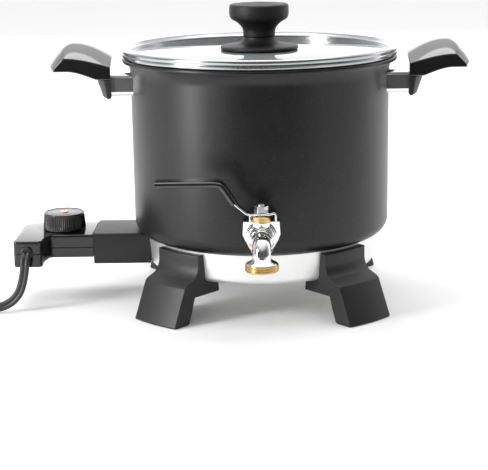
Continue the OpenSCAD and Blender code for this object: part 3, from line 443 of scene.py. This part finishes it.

# %% [markdown]
# Two finishes need trees of their own. The lid is tempered glass, clear, but a share of it is a pale diffuse
# surface: painted reflection that whitens it, so that the dark pot beneath it is softened. The dial's disc is
# printed with a ring of strokes, which is drawn by angle and radius rather than modelled, because print has
# no depth.

# %% Glass and dial print
def glass(name):
    """Clear glass with a faint waviness, of which a share is a pale diffuse surface: painted reflection that
    whitens it.
    """
    material, tree, place, out = new_material(name)
    waves = add(tree, "TexNoise", None, {"Vector": place, "Scale": 14.0, "Detail": 1.0}).outputs["Fac"]
    relief = add(tree, "Bump", None, {"Height": waves, "Strength": 0.2, "Distance": 0.0004})
    # The pale tone of the diffuse share is painted reflection, which whitens the lid.
    tone = add(tree, "MixRGB", None, {"Fac": waves, "Color1": colour("#dfe4e3"), "Color2": colour("#d6dcdb")})
    shader = add(tree, "BsdfPrincipled", None, {
        "Base Color": tone.outputs[0], "Roughness": 0.03, "Transmission Weight": 0.78, "IOR": 1.5,
        "Normal": relief.outputs[0],
    })
    tree.links.new(shader.outputs[0], out.inputs["Surface"])
    return material


def dial_print(name, centre):
    """A printed metal disc: pale grey, with fine dark strokes where the sine of 24 times the angle round
    the centre is near its top, and only between two radii."""
    material, tree, place, out = new_material(name)
    middle = [c * MM for c in centre]
    local = add(tree, "VectorMath", {"operation": "SUBTRACT"}, {0: place, 1: middle}).outputs[0]
    split = add(tree, "SeparateXYZ", None, {0: local})
    angle = maths(tree, "ARCTAN2", split.outputs[1], split.outputs[0])
    beat = maths(tree, "SINE", maths(tree, "MULTIPLY", angle, 24.0))
    stroke = add(tree, "MapRange", None, {"Value": beat, "From Min": 0.7, "From Max": 0.85}).outputs[0]
    reach = add(tree, "VectorMath", {"operation": "LENGTH"}, {0: local}).outputs["Value"]
    outside = maths(tree, "GREATER_THAN", reach, 11.5 * MM)
    inside = maths(tree, "LESS_THAN", reach, 14.5 * MM)
    marks = maths(tree, "MULTIPLY", maths(tree, "MULTIPLY", outside, inside), stroke)
    mix = add(tree, "MixRGB", None, {"Fac": marks, "Color1": colour("#77787a"), "Color2": colour("#161616")})
    shader = add(tree, "BsdfPrincipled", None, {
        "Base Color": mix.outputs[0], "Roughness": 0.3, "Metallic": 0.9,
    })
    tree.links.new(shader.outputs[0], out.inputs["Surface"])
    return material


DIAL = (-177.6, 0, 0)
mats["lid_glass"] = glass("tempered glass")
mats["dial_print"] = dial_print("printed dial plate", (DIAL[0], 0, 75.6))

for entry in frame["record"]["materials"]:
    for name in entry.get("nodes", []):
        slots = frame["nodes"][name].data.materials
        slots.clear()
        slots.append(mats[entry["slot"]])
print("finishes:", len(mats))

# %% [markdown]
# ## Cord
# A flat twin cord leaves the probe through a short boot, drops to the table and runs to its own coil,
# which a tie holds. Its route is one smooth line of points: listed ones up to the coil, a flat spiral as
# cords are sold, and a curve from the last turn into the plug. The line is then divided evenly and
# averaged with its neighbours a few times, which takes the last kinks out.

# %% The cord's route
EXIT = np.array([-204.6, -49.75, 50.75])
ROUTE = np.array([
    [0, -1, 0], [0, -4, 0], [0, -6.3, -0.3], [0, -8.5, -1.2], [0, -10.4, -2.6], [0, -11.8, -4.5],
    [0, -12.7, -6.7], [-0.2, -13, -9], [-1, -13, -15], [-2.5, -13, -22], [-4.5, -13, -29], [-8, -13, -35.5],
    [-13, -13, -40.5], [-19, -13, -44], [-26, -13, -46], [-34, -13, -46.6], [-46, -13, -46.6],
    [-58, -13, -46.6], [-67, -13, -46.6], [-76, -13, -46.6],
])
COIL = np.array([-301.8, -12.95, 4.15])
COIL_R, PITCH = 49.75, 4.45
PLUG_TURN, PLUG_SIDE, PLUG_RISE = 15, 21.54, 3.6
STANDS_AFTER = 150
UP = np.array([0, 0, 1.0])

a = np.radians(np.linspace(270, 95 - 720, 300))
spiral_r = COIL_R - PITCH * (a[0] - a) / (2 * np.pi)
spiral = COIL + np.stack([spiral_r * np.cos(a), spiral_r * np.sin(a), 0 * a], -1)
plug_in = np.array([np.sin(np.radians(PLUG_TURN)), -np.cos(np.radians(PLUG_TURN)), 0])
side = np.array([np.cos(np.radians(PLUG_TURN)), np.sin(np.radians(PLUG_TURN)), 0])
plug_back = COIL + PLUG_SIDE * side - 20 * plug_in
tangent = np.array([np.sin(a[-1]), -np.cos(a[-1]), 0])
reach = np.linalg.solve(np.stack([tangent[:2], plug_in[:2]], 1), (plug_back - spiral[-1])[:2])
corner = spiral[-1] + reach[0] * tangent
t = np.linspace(0, 1, 25)[1:, None]
bend = (1 - t) ** 2 * spiral[-1] + 2 * t * (1 - t) * corner + t**2 * plug_back
bend[:, 2] += PLUG_RISE * (t[:, 0] ** 2 * (3 - 2 * t[:, 0]))
line = path(EXIT + ROUTE, spiral, bend, plug_back + PLUG_RISE * UP + 2 * plug_in)
step = np.r_[0, np.cumsum(np.linalg.norm(np.diff(line, axis=0), axis=1))]
even = np.linspace(0, step[-1], 620)
line = np.stack([np.interp(even, step, line[:, k]) for k in range(3)], -1)
for _ in range(6):
    line[1:-1] = (line[:-2] + 2 * line[1:-1] + line[2:]) / 4
print("cord length in mm:", round(float(np.linalg.norm(np.diff(line, axis=0), axis=1).sum()), 1))

# %% [markdown]
# The cord's section is two round wires side by side with a groove between them. Beyond the drop it
# stands on edge, so that its turns lie close. The boot is a ribbed sleeve that keeps the cord from
# bending sharply at the probe, and it is a turned profile because each rib is a full ring.

# %% Cord and boot
twin = path(arc(1.9, 0, 2.1, -148, 148, 13), arc(-1.9, 0, 2.1, 32, 328, 13))
heading = np.gradient(line, axis=0)
heading /= np.linalg.norm(heading, axis=1, keepdims=True)
wide = np.cross(heading, (0, -1.0, 0)) + np.array([-0.05, 0, 0])
wide[even > STANDS_AFTER] = UP
cord = piece("power_cord", [carried(line, twin, wide)], ("cord", "cord_coil"), "cord_vinyl", crease=60)
relief = path(
    [0, 4], [4.3, 4], arc(4.3, 3.3, 0.7, 90, 0, 4), [5.05, 2.6], [4.6, 2.3], [4.6, 1.9], [5.3, 1.6],
    [5.3, 0.9], [4.9, 0.6], [4.9, 0.3], [5.6, 0.1], [5.6, -3], [0, -3]
)
boot = piece("strain_relief", [turned(relief, EXIT, "y", 48)], ("cord_boot",), "plug_vinyl")

# %% [markdown]
# A flat strap holds the turns together. It is a closed band: an outer loop and a slightly smaller inner
# one, each at the strap's two edges.

# %% Tie
TIE_TURN, TIE_R, HALF_STRAP = 200, 44.3, 4
out = np.array([np.cos(np.radians(TIE_TURN)), np.sin(np.radians(TIE_TURN)), 0])
across = HALF_STRAP * np.cross(out, UP)
wrap = rounded(16.6, 9.2, 1.6, 6)
wrap_middle = COIL + TIE_R * out
outer = wrap_middle + wrap[:, :1] * out + (wrap[:, 1:] + 0.45) * UP
inner = wrap_middle + 0.9 * (outer - wrap_middle)
shell = np.stack([outer - across, outer + across, inner + across, inner - across])
tie = piece("cord_strap", [grid(shell, wrap_u=True, wrap_v=True)], ("cord_tie",), "plug_vinyl", bevel=0.3)

# %% [markdown]
# The plug is a soft moulding that swells from the cord to its face. One round square is repeated along
# it, with a width and a height for each place. Its two blades stay CAD pieces.

# %% Plug
plug_wide = np.array([plug_in[1], -plug_in[0], 0])
along = np.array([0, 1.2, 2.5, 5, 9, 12, 14, 16, 22, 25, 26])
widths = np.array([13.0, 15.5, 16.8, 17.6, 18.4, 19.6, 20.2, 20.4, 20.8, 20.8, 19.4])
heights = np.array([10.0, 11.8, 12.8, 13.6, 14.4, 15.0, 15.4, 15.5, 15.6, 15.6, 14.4])
section = rounded(1, 1, 0.3, 6)
middle = plug_back + (7.9 - plug_back[2]) * UP + along[:, None] * plug_in
body = (
    middle[:, None]
    + section[None, :, :1] * widths[:, None, None] * plug_wide
    + section[None, :, 1:] * heights[:, None, None] * UP
)
moulding = grid(body, wrap_v=True, caps=(True, True))
plug = piece("cord_plug", [moulding], ("plug_body",), "plug_vinyl", bevel=0.6, crease=50)

# %% [markdown]
# ## Pot
# The pot is spun from one aluminium disc: flat bottom, round corner, straight wall, and a flared mouth
# whose edge is rolled into a bead. Spinning turns a sheet against a form, so one turned profile, outside
# and inside, is the same shape. The valve's hole stays behind the valve's flange.

# %% Pot
pot_profile = path(
    [0, 59], arc(100, 72, 13, 270, 360, 14), [113, 120], [113, 170], arc(134, 200, 21, 180, 145, 8),
    arc(117.8, 212.8, 2.2, -55, 190, 14), arc(134, 200, 23, 146, 180, 8), [111, 170], [111, 120],
    arc(100, 72, 11, 360, 270, 12), [0, 61]
)
piece("pot", [turned(pot_profile)], ("pot_shell",), "pot_coating")

# %% [markdown]
# ## Lid and knob
# The lid is a flat tempered disc held by a rolled steel band. The band is a closed profile, because it
# wraps over and under the glass, and it has more sides than the pot because it shines: flat facets would
# show in its reflections.

# %% Lid
rim = path(
    [109, 219.5], [109, 208.5], arc(109.55, 208.6, 0.5, 180, 360, 4), [110.1, 214.7], [115.2, 214.7],
    [115.4, 215.4], [118.6, 215.3], arc(118.6, 216.7, 1.4, 270, 360, 5), [119.95, 218.2],
    arc(120.2, 219.4, 0.55, 215, 145, 4), [119.95, 220.8], arc(117.9, 221.3, 2.05, 5, 90, 7), [116.6, 223.3],
    [115.2, 221.0], [113.6, 220.3], [112.5, 220.1], [112.5, 219.45]
)
piece("lid_band", [turned(rim, closed=True, sides=192)], ("lid_rim",), "rim_steel")
disc = path(
    [0, 215.6], [114.4, 215.6], arc(114.4, 216.2, 0.6, 270, 360, 3), arc(114.4, 218.7, 0.6, 0, 90, 3),
    [0, 219.3]
)
piece("lid_pane", [turned(disc, sides=192)], ("lid_glass",), "lid_glass")

# %% [markdown]
# The knob is moulded in two halves that a screw holds against the glass: a wide foot and a waisted head.
# A thin line shows where they meet. The head's flare and the foot's waist are curves with a power in
# them, which give the slow start and quick end of a moulded waist.

# %% Knob
t = np.linspace(0, 1, 14)
flare = np.stack([13.9 + 8.6 * t**2 * (1.3 - 0.3 * t), 233.8 + 11.5 * t**0.8], -1)
head = path(
    [0, 231.0], [13.3, 231.0], arc(13.4, 231.5, 0.5, 270, 360, 3), flare[:-1], [23.0, 245.2], [24.6, 246.6],
    [25.6, 248.6], [26.0, 251.2], [26.0, 254.6], [25.85, 256.2], arc(23.75, 256.7, 2.1, 5, 80, 6),
    [20, 258.75], [15.6, 259.35], [7.8, 260.1], [0, 260.3]
)
quarter = np.pi / 2 * np.linspace(0, 1, 10)
waist = np.stack([19.9 - 6.2 * np.sin(quarter), 224.3 + 6.3 * (1 - np.cos(quarter)) ** 0.8], -1)
foot = path(
    [0, 219.3], [32.2, 219.3], arc(32.1, 221.2, 1.9, 290, 430, 8), [29, 223.5], [23, 224.0], waist,
    [13.3, 230.75], [0, 230.75]
)
piece("knob_top", [turned(head, sides=96)], ("knob_head",), "knob_plastic")
piece("knob_base", [turned(foot, sides=96)], ("knob_foot",), "knob_plastic")

# %% [markdown]
# ## Feet
# Each foot is one moulding: a panel that sweeps out in an S from the base ring, a flat toe, and a
# ledge under the base that a screw holds. Its front follows the pot's own circle, so the radius of every
# point stays that of the side profile while the foot's width grows a little towards the toe.

# %% Feet
side_view = path(
    [94, 33], [85, 33], [84, 22], [113.3, 22], [117, 10], arc(123.5, 4, 4, 180, 270, 5), [137, 0], [138, 1],
    arc(122.05, 30.2, 3.3, 20, 48, 4), [122, 34.2], arc(122.5, 48.5, 14, 234, 180, 12), [108.5, 55.8],
    arc(107.4, 56.4, 1.1, 0, 90, 4), [101, 57.5], [99, 40]
)
INNER_HALF_WIDTH, GROWTH = 23.5, 0.8


def foot_at(place, degrees):
    """The side profile (r, z) repeated across the width: y = s (half width at r) and x = sqrt(r r - y y),
    turned about the pot's axis."""
    r, z = side_view.T
    y = np.linspace(-1, 1, 13)[:, None] * (INNER_HALF_WIDTH + GROWTH * (r - 80) / 58)
    x = np.sqrt(r**2 - y**2)
    a = np.radians(degrees)
    points = np.stack([x * np.cos(a) - y * np.sin(a), x * np.sin(a) + y * np.cos(a), z + 0 * y], -1)
    net = grid(points, wrap_v=True, caps=(True, True))
    return piece("foot_piece_" + place, [net], ("foot_" + place,), "foot_plastic", bevel=0.9, crease=28)


for place, degrees in (("front_left", 228), ("front_right", 312), ("rear_left", 132), ("rear_right", 48)):
    foot_at(place, degrees)

# %% [markdown]
# ## Handles
# Each handle is a bracket of bent sheet riveted to the pot, a short post screwed to it, and a crowned grip
# that reaches outwards and turns down at its tip. A subdivided cage would give such a crown too, but it
# is hard to hold to a size. So the grip's surface has two parameters: u runs from the post to the tip
# and v from edge to edge. Its side and its crest rise along u, and the crown between them fills out
# quickly from the edge.

# %% Handles
GRIP_X, GRIP_L, GRIP_HALF_W = 128, 56, 32.5


def rise(u, full):
    """A quarter of a sine wave that reaches 1 where u is full, and stays there."""
    return np.sin(np.pi / 2 * np.minimum(1, u / full))


u = np.linspace(0, 1, 33)[:, None]
v = np.linspace(-1, 1, 33)[None, :]
side_z = 209.2 + 7.5 * rise(u, 0.77) - 9.5 * np.maximum(0, u - 0.77) / 0.23
crest_z = 217 + 11.2 * rise(u, 0.62) - 17.5 * (np.maximum(0, u - 0.62) / 0.38) ** 2
grip_x = GRIP_X + GRIP_L * u - 7 * v**2 * u**3
grip_y = GRIP_HALF_W * v + 0 * u
top_z = side_z + (crest_z - side_z) * (1 - np.abs(v) ** 2.0)
low_z = 198.3 + 7 * rise(np.maximum(0, u - 0.23), 0.5) + 0 * v
upper = np.stack([grip_x, grip_y, top_z], -1)
lower = np.stack([grip_x, grip_y, np.minimum(low_z, top_z - 2.5)], -1)
loop = np.concatenate([upper, lower[:, ::-1]], axis=1)

# The post narrows towards its two side faces, so it is repeated at six places across
post = path(
    arc(130, 183.7, 2, 180, 270, 4), arc(133.5, 184.2, 2.5, 270, 340, 4), [140.7, 198.0], [GRIP_X, 198.0]
)
y = np.array([-32.5, -27.5, -22.5, 22.5, 27.5, 32.5])[:, None]
narrow = np.array([6, 10, 13, 13, 10, 6])[:, None] / 13
post_points = np.stack([GRIP_X + (post[:, 0] - GRIP_X) * narrow, y + 0 * post[:, 0], post[:, 1] + 0 * y], -1)
for sign, name in ((1, "right"), (-1, "left")):
    flip = np.array([sign, 1, 1])
    grip = grid(loop * flip, wrap_v=True, caps=(True, True))
    piece(f"grip_{name}", [grip], (f"handle_{name}_grip",), "handle_plastic", bevel=0.8, crease=30)
    # The post is left as moulded, without the grip's polish
    stub = grid(post_points * flip, wrap_v=True, caps=(True, True))
    piece(
        f"post_{name}", [stub], (f"handle_{name}_post",), "handle_plastic", bevel=0.7, crease=30,
        look="foot_plastic"
    )

# %% [markdown]
# ## Valve
# A chrome-plated ball valve is screwed through the pot's wall between two seals. Its body is one casting:
# a faceted shield with round steps in front of it, a boss for the stem and a stop for the lever. It is
# hollow where the ball turns, so its net runs round the outside, over the front edge and into a cup.

# %% Valve body
WALL = (0, -113, 84)
STEM = (0, -139, 0)
OUTLET = (0, -172, 0)
CUP_R = 10.5
shield = np.array([
    [-14.5, 12.5], [-15.2, 2], [-13.2, -3], [-7.6, -13.6], [0, -13.6],
    [7.6, -13.6], [13.2, -3], [15.2, 2], [14.5, 12.5], [0, 12.5],
])
cup = CUP_R * shield / np.linalg.norm(shield, axis=1, keepdims=True)


def before_wall(outline, distance):
    """The outline's points (x, z) about the valve's axis, that far in front of the pot's wall."""
    return np.stack([outline[:, 0], WALL[1] - distance + 0 * outline[:, 0], WALL[2] + outline[:, 1]], -1)


loops = np.stack([before_wall(*loop) for loop in ((shield, 7), (shield, 25), (cup, 25), (cup, 17))])
tail = turned([[4.5, -14], [10.3, -14], [10.3, 4], [4.5, 4]], WALL, "y", 64, closed=True)
flange_line = [[4.5, 3], [14.1, 3], [14.5, 3.4], [14.5, 6.6], [14.1, 7], [4.5, 7]]
flange = turned(flange_line, WALL, "y", 96, closed=True)
step_line = path(
    [9, 24], [12.6, 24], [12.6, 27.5], arc(12.1, 27.5, 0.5, 0, 90, 3), [11.2, 28], [11.2, 30.6],
    [10.8, 31], [9, 31]
)
steps = turned(step_line, WALL, "y", 96, closed=True)
boss = turned(path([0, 92.8], [7, 92.8], [7, 96.7], [6.7, 97], [0, 97]), STEM, "z", 64)
lug = turned(path([0, 95], [1.6, 95], [1.6, 100.6], [1.2, 101], [0, 101]), (-8.5, -127.4, 0), "z", 24)
casting = [grid(loops, wrap_v=True, caps=(True, True)), tail, flange, steps, boss, lug]
piece("valve_shield", casting, ("valve_body",), "valve_chrome", bevel=0.5, crease=25)

# %% [markdown]
# In front of the body comes a stepped end piece with a bent pipe, which leads down to a threaded brass
# ring. The pipe is a ring carried along a line: straight, a quarter turn, and straight again. Its bore
# is a second, smaller pipe, and a flat ring joins the two at the nozzle. The thread adds a sine wave to
# the ring's radius, whose phase grows with both height and angle, and so winds up as a screw does.

# %% Pipe and outlet
PIPE_R, BORE_R, THREAD_PITCH = 7.3, 4.5, 1.7
bow = np.radians(np.linspace(0, 90, 17))[:, None]
elbow = np.hstack([0 * bow, -163 - 9 * np.sin(bow), 75 + 9 * np.cos(bow)])
pipe_line = path([0, -152, 84], [0, -158, 84], elbow, [0, -172, 70], [0, -172, 65])
ring = arc(0, 0, 1, 0, 360, 48)[:-1]
last = pipe_line[-3:]
nozzle = np.stack([carried(last, k * ring, (1, 0, 0))[0].reshape(3, -1, 3)[-1] for k in (PIPE_R, BORE_R)])
collar_line = path([8.8, 31], [9.8, 31], [9.8, 34.5], arc(9.3, 34.5, 0.5, 0, 90, 3), [8.8, 35])
end_line = path([0, 34.8], [8.9, 34.8], [8.4, 35.2], [8.4, 39.4], arc(7.8, 39.4, 0.6, 0, 90, 3), [0, 40])
skirt = path([7.0, 70.9], [12.2, 70.9], [12.4, 71.1], [12.2, 71.4], [9.4, 72.9], [8.0, 73.9], [7.0, 75.0])
spout_forms = [
    turned(collar_line, WALL, "y", 96, closed=True),
    turned(end_line, WALL, "y", 96),
    carried(pipe_line, PIPE_R * ring, (1, 0, 0), caps=(True, False)),
    carried(pipe_line, BORE_R * ring, (1, 0, 0), caps=(True, False)),
    grid(nozzle, wrap_v=True),
    turned(skirt, OUTLET, "z", 64),
]
piece("valve_pipe", spout_forms, ("valve_spout",), "valve_chrome", crease=30)


def helix(a, r, h):
    """The thread's depth times the sine of (one turn for each pitch of height, less the angle), and
    only on the outer face."""
    return np.where(r > 12.8, 0.31 * np.sin(2 * np.pi * h / THREAD_PITCH - a), 0)


flank = np.linspace(65.5, 70.5, 41)
thread = path([7.35, 65], [12.5, 65], np.stack([12.9 + 0 * flank, flank], -1), [12.5, 71], [7.35, 71])
threaded = turned(thread, OUTLET, "z", 72, closed=True, wave=helix)
piece("outlet_ring", [threaded], ("outlet_thread",), "brass", crease=60)

# %% [markdown]
# The ball's stem comes up through a brass gland and carries the lever: a bent steel strip with a dipped
# vinyl sleeve, held by a hexagon nut. The strip and its sleeve follow the same line, so the sleeve is
# the same form with a larger section.

# %% Lever
LEVER_Z = 103.6
lever = np.array([
    [11.6, -5.3], [11.4, 1.6], [6.6, 0], [-11, 0], [-21.5, 8.8], [-31, 23.2], [-33, 24.4], [-37, 25],
    [-83, 25],
])
sleeve = np.array([[-21.5, 8.8], [-31, 23.2], [-33, 24.4], [-37, 25], [-84, 25]])


def at_lever(line):
    """The line's points (x, rise) in the lever's upright plane."""
    return np.stack([line[:, 0], STEM[1] + 0 * line[:, 0], LEVER_Z + line[:, 1]], -1)


gland = path([3.06, 97], [7.2, 97], [7.6, 97.4], [7.6, 101.2], [7.0, 101.8], [3.06, 101.8])
piece("gland", [turned(gland, STEM, "z", 64, closed=True)], ("gland_nut",), "brass")
# The strip is polished like the brackets, a little brighter than the plated screws
strip = carried(at_lever(smooth(lever, 2.5)), rounded(13, 1.6, 0.35, 2))
piece("lever_strip", [strip], ("lever_plate",), "steel", bevel=0.3, look="bracket_aluminium")
skin = carried(at_lever(smooth(sleeve, 3)), rounded(16.2, 4.8, 2.1, 5))
piece("lever_grip", [skin], ("lever_sleeve",), "lever_vinyl", bevel=1.1, crease=50)
hexagon = 10 / np.sqrt(3) * arc(0, 0, 1, 0, 300, 5)
piece("lever_hexagon", [slab(hexagon, [104.4, 109.9], STEM)], ("lever_nut",), "steel", bevel=0.55)

# %% [markdown]
# ## Socket
# The probe plugs into an open box at the pot's side. The box is a rectangular tube whose inner end
# follows the base ring, so each point of its outline has its own depth there. Five loops make it: from
# the ring outwards, over the mouth's edge and back in to the floor.

# %% Socket box
BOX_Z = 47.75
outer_box, inner_box, mouth = rounded(56.4, 27.5, 2.6), rounded(51.6, 22.7, 1.4), rounded(55.2, 26.3, 2.0)


def at_x(outline, x):
    """The outline's points (y, z) about the box's middle, at one x or one for each point."""
    return np.stack([x + 0 * outline[:, 0], outline[:, 0], BOX_Z + outline[:, 1]], -1)


def on_ring(outline, r):
    """Where each point of the outline meets a circle of that radius: x = - sqrt(r r - y y)."""
    return -np.sqrt(r**2 - outline[:, 0] ** 2)


box_rings = np.stack([
    at_x(outer_box, on_ring(outer_box, 102)), at_x(outer_box, -148.3), at_x(mouth, -149),
    at_x(inner_box, -149), at_x(inner_box, on_ring(inner_box, 105.4)),
])
box = grid(box_rings, wrap_v=True, caps=(False, True))
piece("socket_box", [box], ("socket_housing",), "socket_plastic", crease=40)

# %% [markdown]
# ## Probe
# The probe is two shells that meet at a seam, with a narrow tongue that carries the contacts, and a
# block at its front corner where the cord leaves. Both shells are the same outline at many levels, and
# an inset at the top and the bottom rounds their edges. A bevel would do the same for the plain edges,
# but it fails where a small inside corner is tighter than the bevel.

# %% Probe
def inset(outline, d):
    """The outline drawn in by d: each point moves along the middle of its two neighbouring edges' normals,
    by d over the cosine of half the angle between them."""
    ahead = np.roll(outline, -1, 0) - outline
    behind = outline - np.roll(outline, 1, 0)
    n1 = np.stack([-ahead[:, 1], ahead[:, 0]], -1) / np.linalg.norm(ahead, axis=1, keepdims=True)
    n2 = np.stack([-behind[:, 1], behind[:, 0]], -1) / np.linalg.norm(behind, axis=1, keepdims=True)
    middle = (n1 + n2) / np.linalg.norm(n1 + n2, axis=1, keepdims=True)
    return outline + d * middle / np.maximum(0.5, (middle * n1).sum(1, keepdims=True))


def soft_slab(outline, low, high, low_r, high_r, n=5):
    """The outline, anticlockwise, from low to high, its lower edge rounded by low_r and its upper one by
    high_r."""
    a = np.radians(np.linspace(0, 90, n + 1))
    z = np.r_[low + low_r * (1 - np.cos(a)), high - high_r * (1 - np.sin(a))]
    d = np.r_[low_r * (1 - np.sin(a)), high_r * (1 - np.cos(a))]
    rings = np.stack([np.hstack([inset(outline, k), np.full((len(outline), 1), h)]) for k, h in zip(d, z)])
    return grid(rings, wrap_v=True, caps=(True, True))


cord_side = path(
    [-216.5, -46.2], arc(-212.95, -46.2, 3.55, 180, 270, 7), [-195.4, -49.75],
    arc(-195.4, -45.85, 3.9, 270, 345, 6),
)
plan = path(
    [-149.3, -26.75], [-149.3, 24.75], arc(-199.5, 7.75, 17, 90, 180, 14), [-216.5, -20], cord_side,
    [-188.6, -33], [-187.2, -29.6], arc(-183.9, -30.2, 3.45, 165, 90, 5)
)
# The block is a hair wider than the shell, so that their faces don't coincide
block = inset(path([-216.5, -24], cord_side, [-191.6, -24]), -0.03)
tongue = np.array([[-129.3, -24.4], [-129.3, 24.4], [-152, 24.4], [-152, -24.4]])
upper = [soft_slab(plan, 49.15, 60.5, 0.25, 1.7), soft_slab(tongue, 49.1, 57.3, 0.1, 0.5, 2)]
lower = [
    soft_slab(plan, 40, 48.85, 1.2, 0.25), soft_slab(block, 37.2, 48.86, 1.4, 0.25),
    soft_slab(tongue, 41, 49, 0.5, 0.1, 2)
]
piece("probe_top", upper, ("probe_upper_shell",), "probe_plastic", crease=34)
piece("probe_base", lower, ("probe_lower_shell",), "probe_plastic", crease=34)

# %% [markdown]
# ## Dial
# A ribbed knob with a printed disc let into its top and an amber lens over the lamp. The ribs take a
# little from the knob's radius as a cosine of the angle, which costs no extra pieces. They fade out
# towards the top and bottom, as on a moulding that has to leave its form.

# %% Dial
RIBS, RIB_DEPTH = 64, 0.42
dial_line = path(
    [0, 60.8], [18.4, 60.8], arc(18.5, 61.4, 0.6, 270, 350, 3), [18.98, 62.6], [18.7, 66], [18.35, 70],
    [18.1, 73], [17.95, 74.2], arc(17.2, 75.1, 0.7, 0, 90, 4), [16.3, 75.8], [15.9, 75.5], [15.7, 75.0],
    [0, 75.0]
)


def ribs(a, r, h):
    """Less the rib depth times (half of one plus the cosine of 64 angles) to the power 0.7, faded from
    0 to 1 over a short height at both ends, and only on the outer face."""
    faded = np.clip((h - 61.2) / 0.8, 0, 1) * np.clip((74.6 - h) / 0.5, 0, 1) * (r > 16.5)
    return -RIB_DEPTH * (0.5 + 0.5 * np.cos(RIBS * a)) ** 0.7 * faded


piece("dial", [turned(dial_line, DIAL, sides=512, wave=ribs)], ("dial_knob",), "dial_plastic", crease=50)
plate = [[0, 75.02], [15.6, 75.02], [15.6, 75.5], [15.4, 75.6], [4.1, 75.6], [4.0, 75.4], [0, 75.4]]
piece("dial_disc", [turned(plate, DIAL)], ("dial_plate",), "dial_print")
lens = path([0, 75.1], [3.95, 75.1], [3.95, 75.9], arc(3.45, 75.9, 0.5, 0, 60, 3), [2.4, 76.36], [0, 76.4])
piece("dial_lens", [turned(lens, DIAL, sides=48)], ("indicator_lens",), "amber")

# %% [markdown]
# ## Floor and card
# The ground is plain pale paper. A dark card lies on it before the object and keeps the front of the pot
# and of the chrome dark, as in a studio for bright things. Only reflections show the card: neither the
# camera nor the light that falls on the object meets it.

# %% Floor and card
def sheet(name, stuff, corners, dark, light, scale, rough, shine):
    """A flat sheet of some stuff through its corners, in metres, in two close colours that a noise mixes."""
    mesh = bpy.data.meshes.new(name)
    mesh.from_pydata(corners, [], [tuple(range(len(corners)))])
    obj = bpy.data.objects.new(name, mesh)
    bpy.context.scene.collection.objects.link(obj)
    material, tree, place, out = new_material(stuff)
    noise = add(tree, "TexNoise", None, {"Vector": place, "Scale": scale}).outputs["Fac"]
    tone = add(tree, "MixRGB", None, {"Fac": noise, "Color1": colour(dark), "Color2": colour(light)})
    shader = add(tree, "BsdfPrincipled", None, {
        "Base Color": tone.outputs[0], "Roughness": rough, "Specular IOR Level": shine,
    })
    tree.links.new(shader.outputs[0], out.inputs["Surface"])
    mesh.materials.append(material)
    return obj


floor_corners = [(-15, -15, 0), (15, -15, 0), (15, 15, 0), (-15, 15, 0)]
floor = sheet("floor", "pale paper", floor_corners, "#f8f8f8", "#fbfbfb", 4.0, 0.9, 0.1)
floor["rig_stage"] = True
card_corners = [(-1.1, -3.2, 0.004), (1.1, -3.2, 0.004), (0.75, -0.62, 0.004), (-0.35, -0.62, 0.004)]
card = sheet("dark card", "dark felt", card_corners, "#101010", "#181818", 300.0, 1.0, 0.0)
card.visible_camera = card.visible_shadow = card.visible_diffuse = False
card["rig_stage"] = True
print("floor and card:", floor.dimensions[:], card.dimensions[:])

# %% [markdown]
# ## Light
# Four softboxes, because broad lamps give broad soft reflections. The tall one at the left draws the
# upright streak on the pot, the wide one above lights all the top faces, and a weak one at the right
# parts the dark pieces from the ground. A long one behind whitens what is seen at a flat angle: the
# glass and the tops of the grips. It is hidden from the camera because it stands in its view.

# %% Softboxes
def softbox(name, place, aim, width, height, radiance):
    """A rectangular lamp that looks at a point; its power is pi times its area times its radiance."""
    data = bpy.data.lights.new(name, "AREA")
    data.shape, data.size, data.size_y = "RECTANGLE", width, height
    data.energy = np.pi * width * height * radiance
    lamp = bpy.data.objects.new(name, data)
    lamp.location = place
    lamp.rotation_euler = (Vector(aim) - Vector(place)).to_track_quat("-Z", "Y").to_euler()
    bpy.context.scene.collection.objects.link(lamp)
    return lamp


softbox("left", (-1.46, -0.84, 0.55), (0, 0, 0.12), 0.34, 1.3, 21.0)
softbox("above", (0, 0.2, 1.7), (0, 0, 0.1), 1.6, 0.9, 2.6)
softbox("right", (1.5, 0.75, 0.6), (0, 0, 0.12), 0.5, 1.3, 1.2)
behind = softbox("behind", (0, 2.3, 0.72), (0, 0, 0.3), 3.6, 1.4, 0.88)
behind.visible_camera = False
print("lamps:", len(bpy.data.lights))

# %% [markdown]
# The room around is a gradient: dim in front, so that the dark pieces stay dark, and pale behind and
# overhead, which gives the white ground. It is made of the direction of sight, so it needs no picture.

# %% Room
world = bpy.data.worlds.new("room")
bpy.context.scene.world = world
world.use_nodes = True
tree = world.node_tree
tree.nodes.clear()
way = add(tree, "SeparateXYZ", None, {0: add(tree, "TexCoord").outputs["Generated"]})
back = add(tree, "MapRange", {"interpolation_type": "SMOOTHSTEP"}, {
    "Value": way.outputs[1], "From Min": -0.5, "From Max": 0.85, "To Min": 0.12, "To Max": 1.05,
})
top = add(tree, "MapRange", {"interpolation_type": "SMOOTHSTEP"}, {
    "Value": way.outputs[2], "From Min": 0.5, "From Max": 0.95, "To Min": 0.0, "To Max": 1.0,
})
strength = maths(tree, "ADD", back.outputs[0], top.outputs[0])
sky = add(tree, "Background", None, {"Color": (1, 1, 1, 1), "Strength": strength})
tree.links.new(sky.outputs[0], add(tree, "OutputWorld").inputs["Surface"])
bpy.context.scene.view_settings.view_transform = "Standard"
print("room nodes:", len(tree.nodes))

# %% [markdown]
# ## Size and finish
# The finer pieces may not be larger than the CAD pieces that they stand for. The model's size is printed
# here with the count of pieces, to set beside the CAD size printed at the start.

# %% Size and finish
low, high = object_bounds()
print("model size in mm:", [round(1000 * (b - a), 1) for a, b in zip(low, high)], "pieces:", len(pieces))
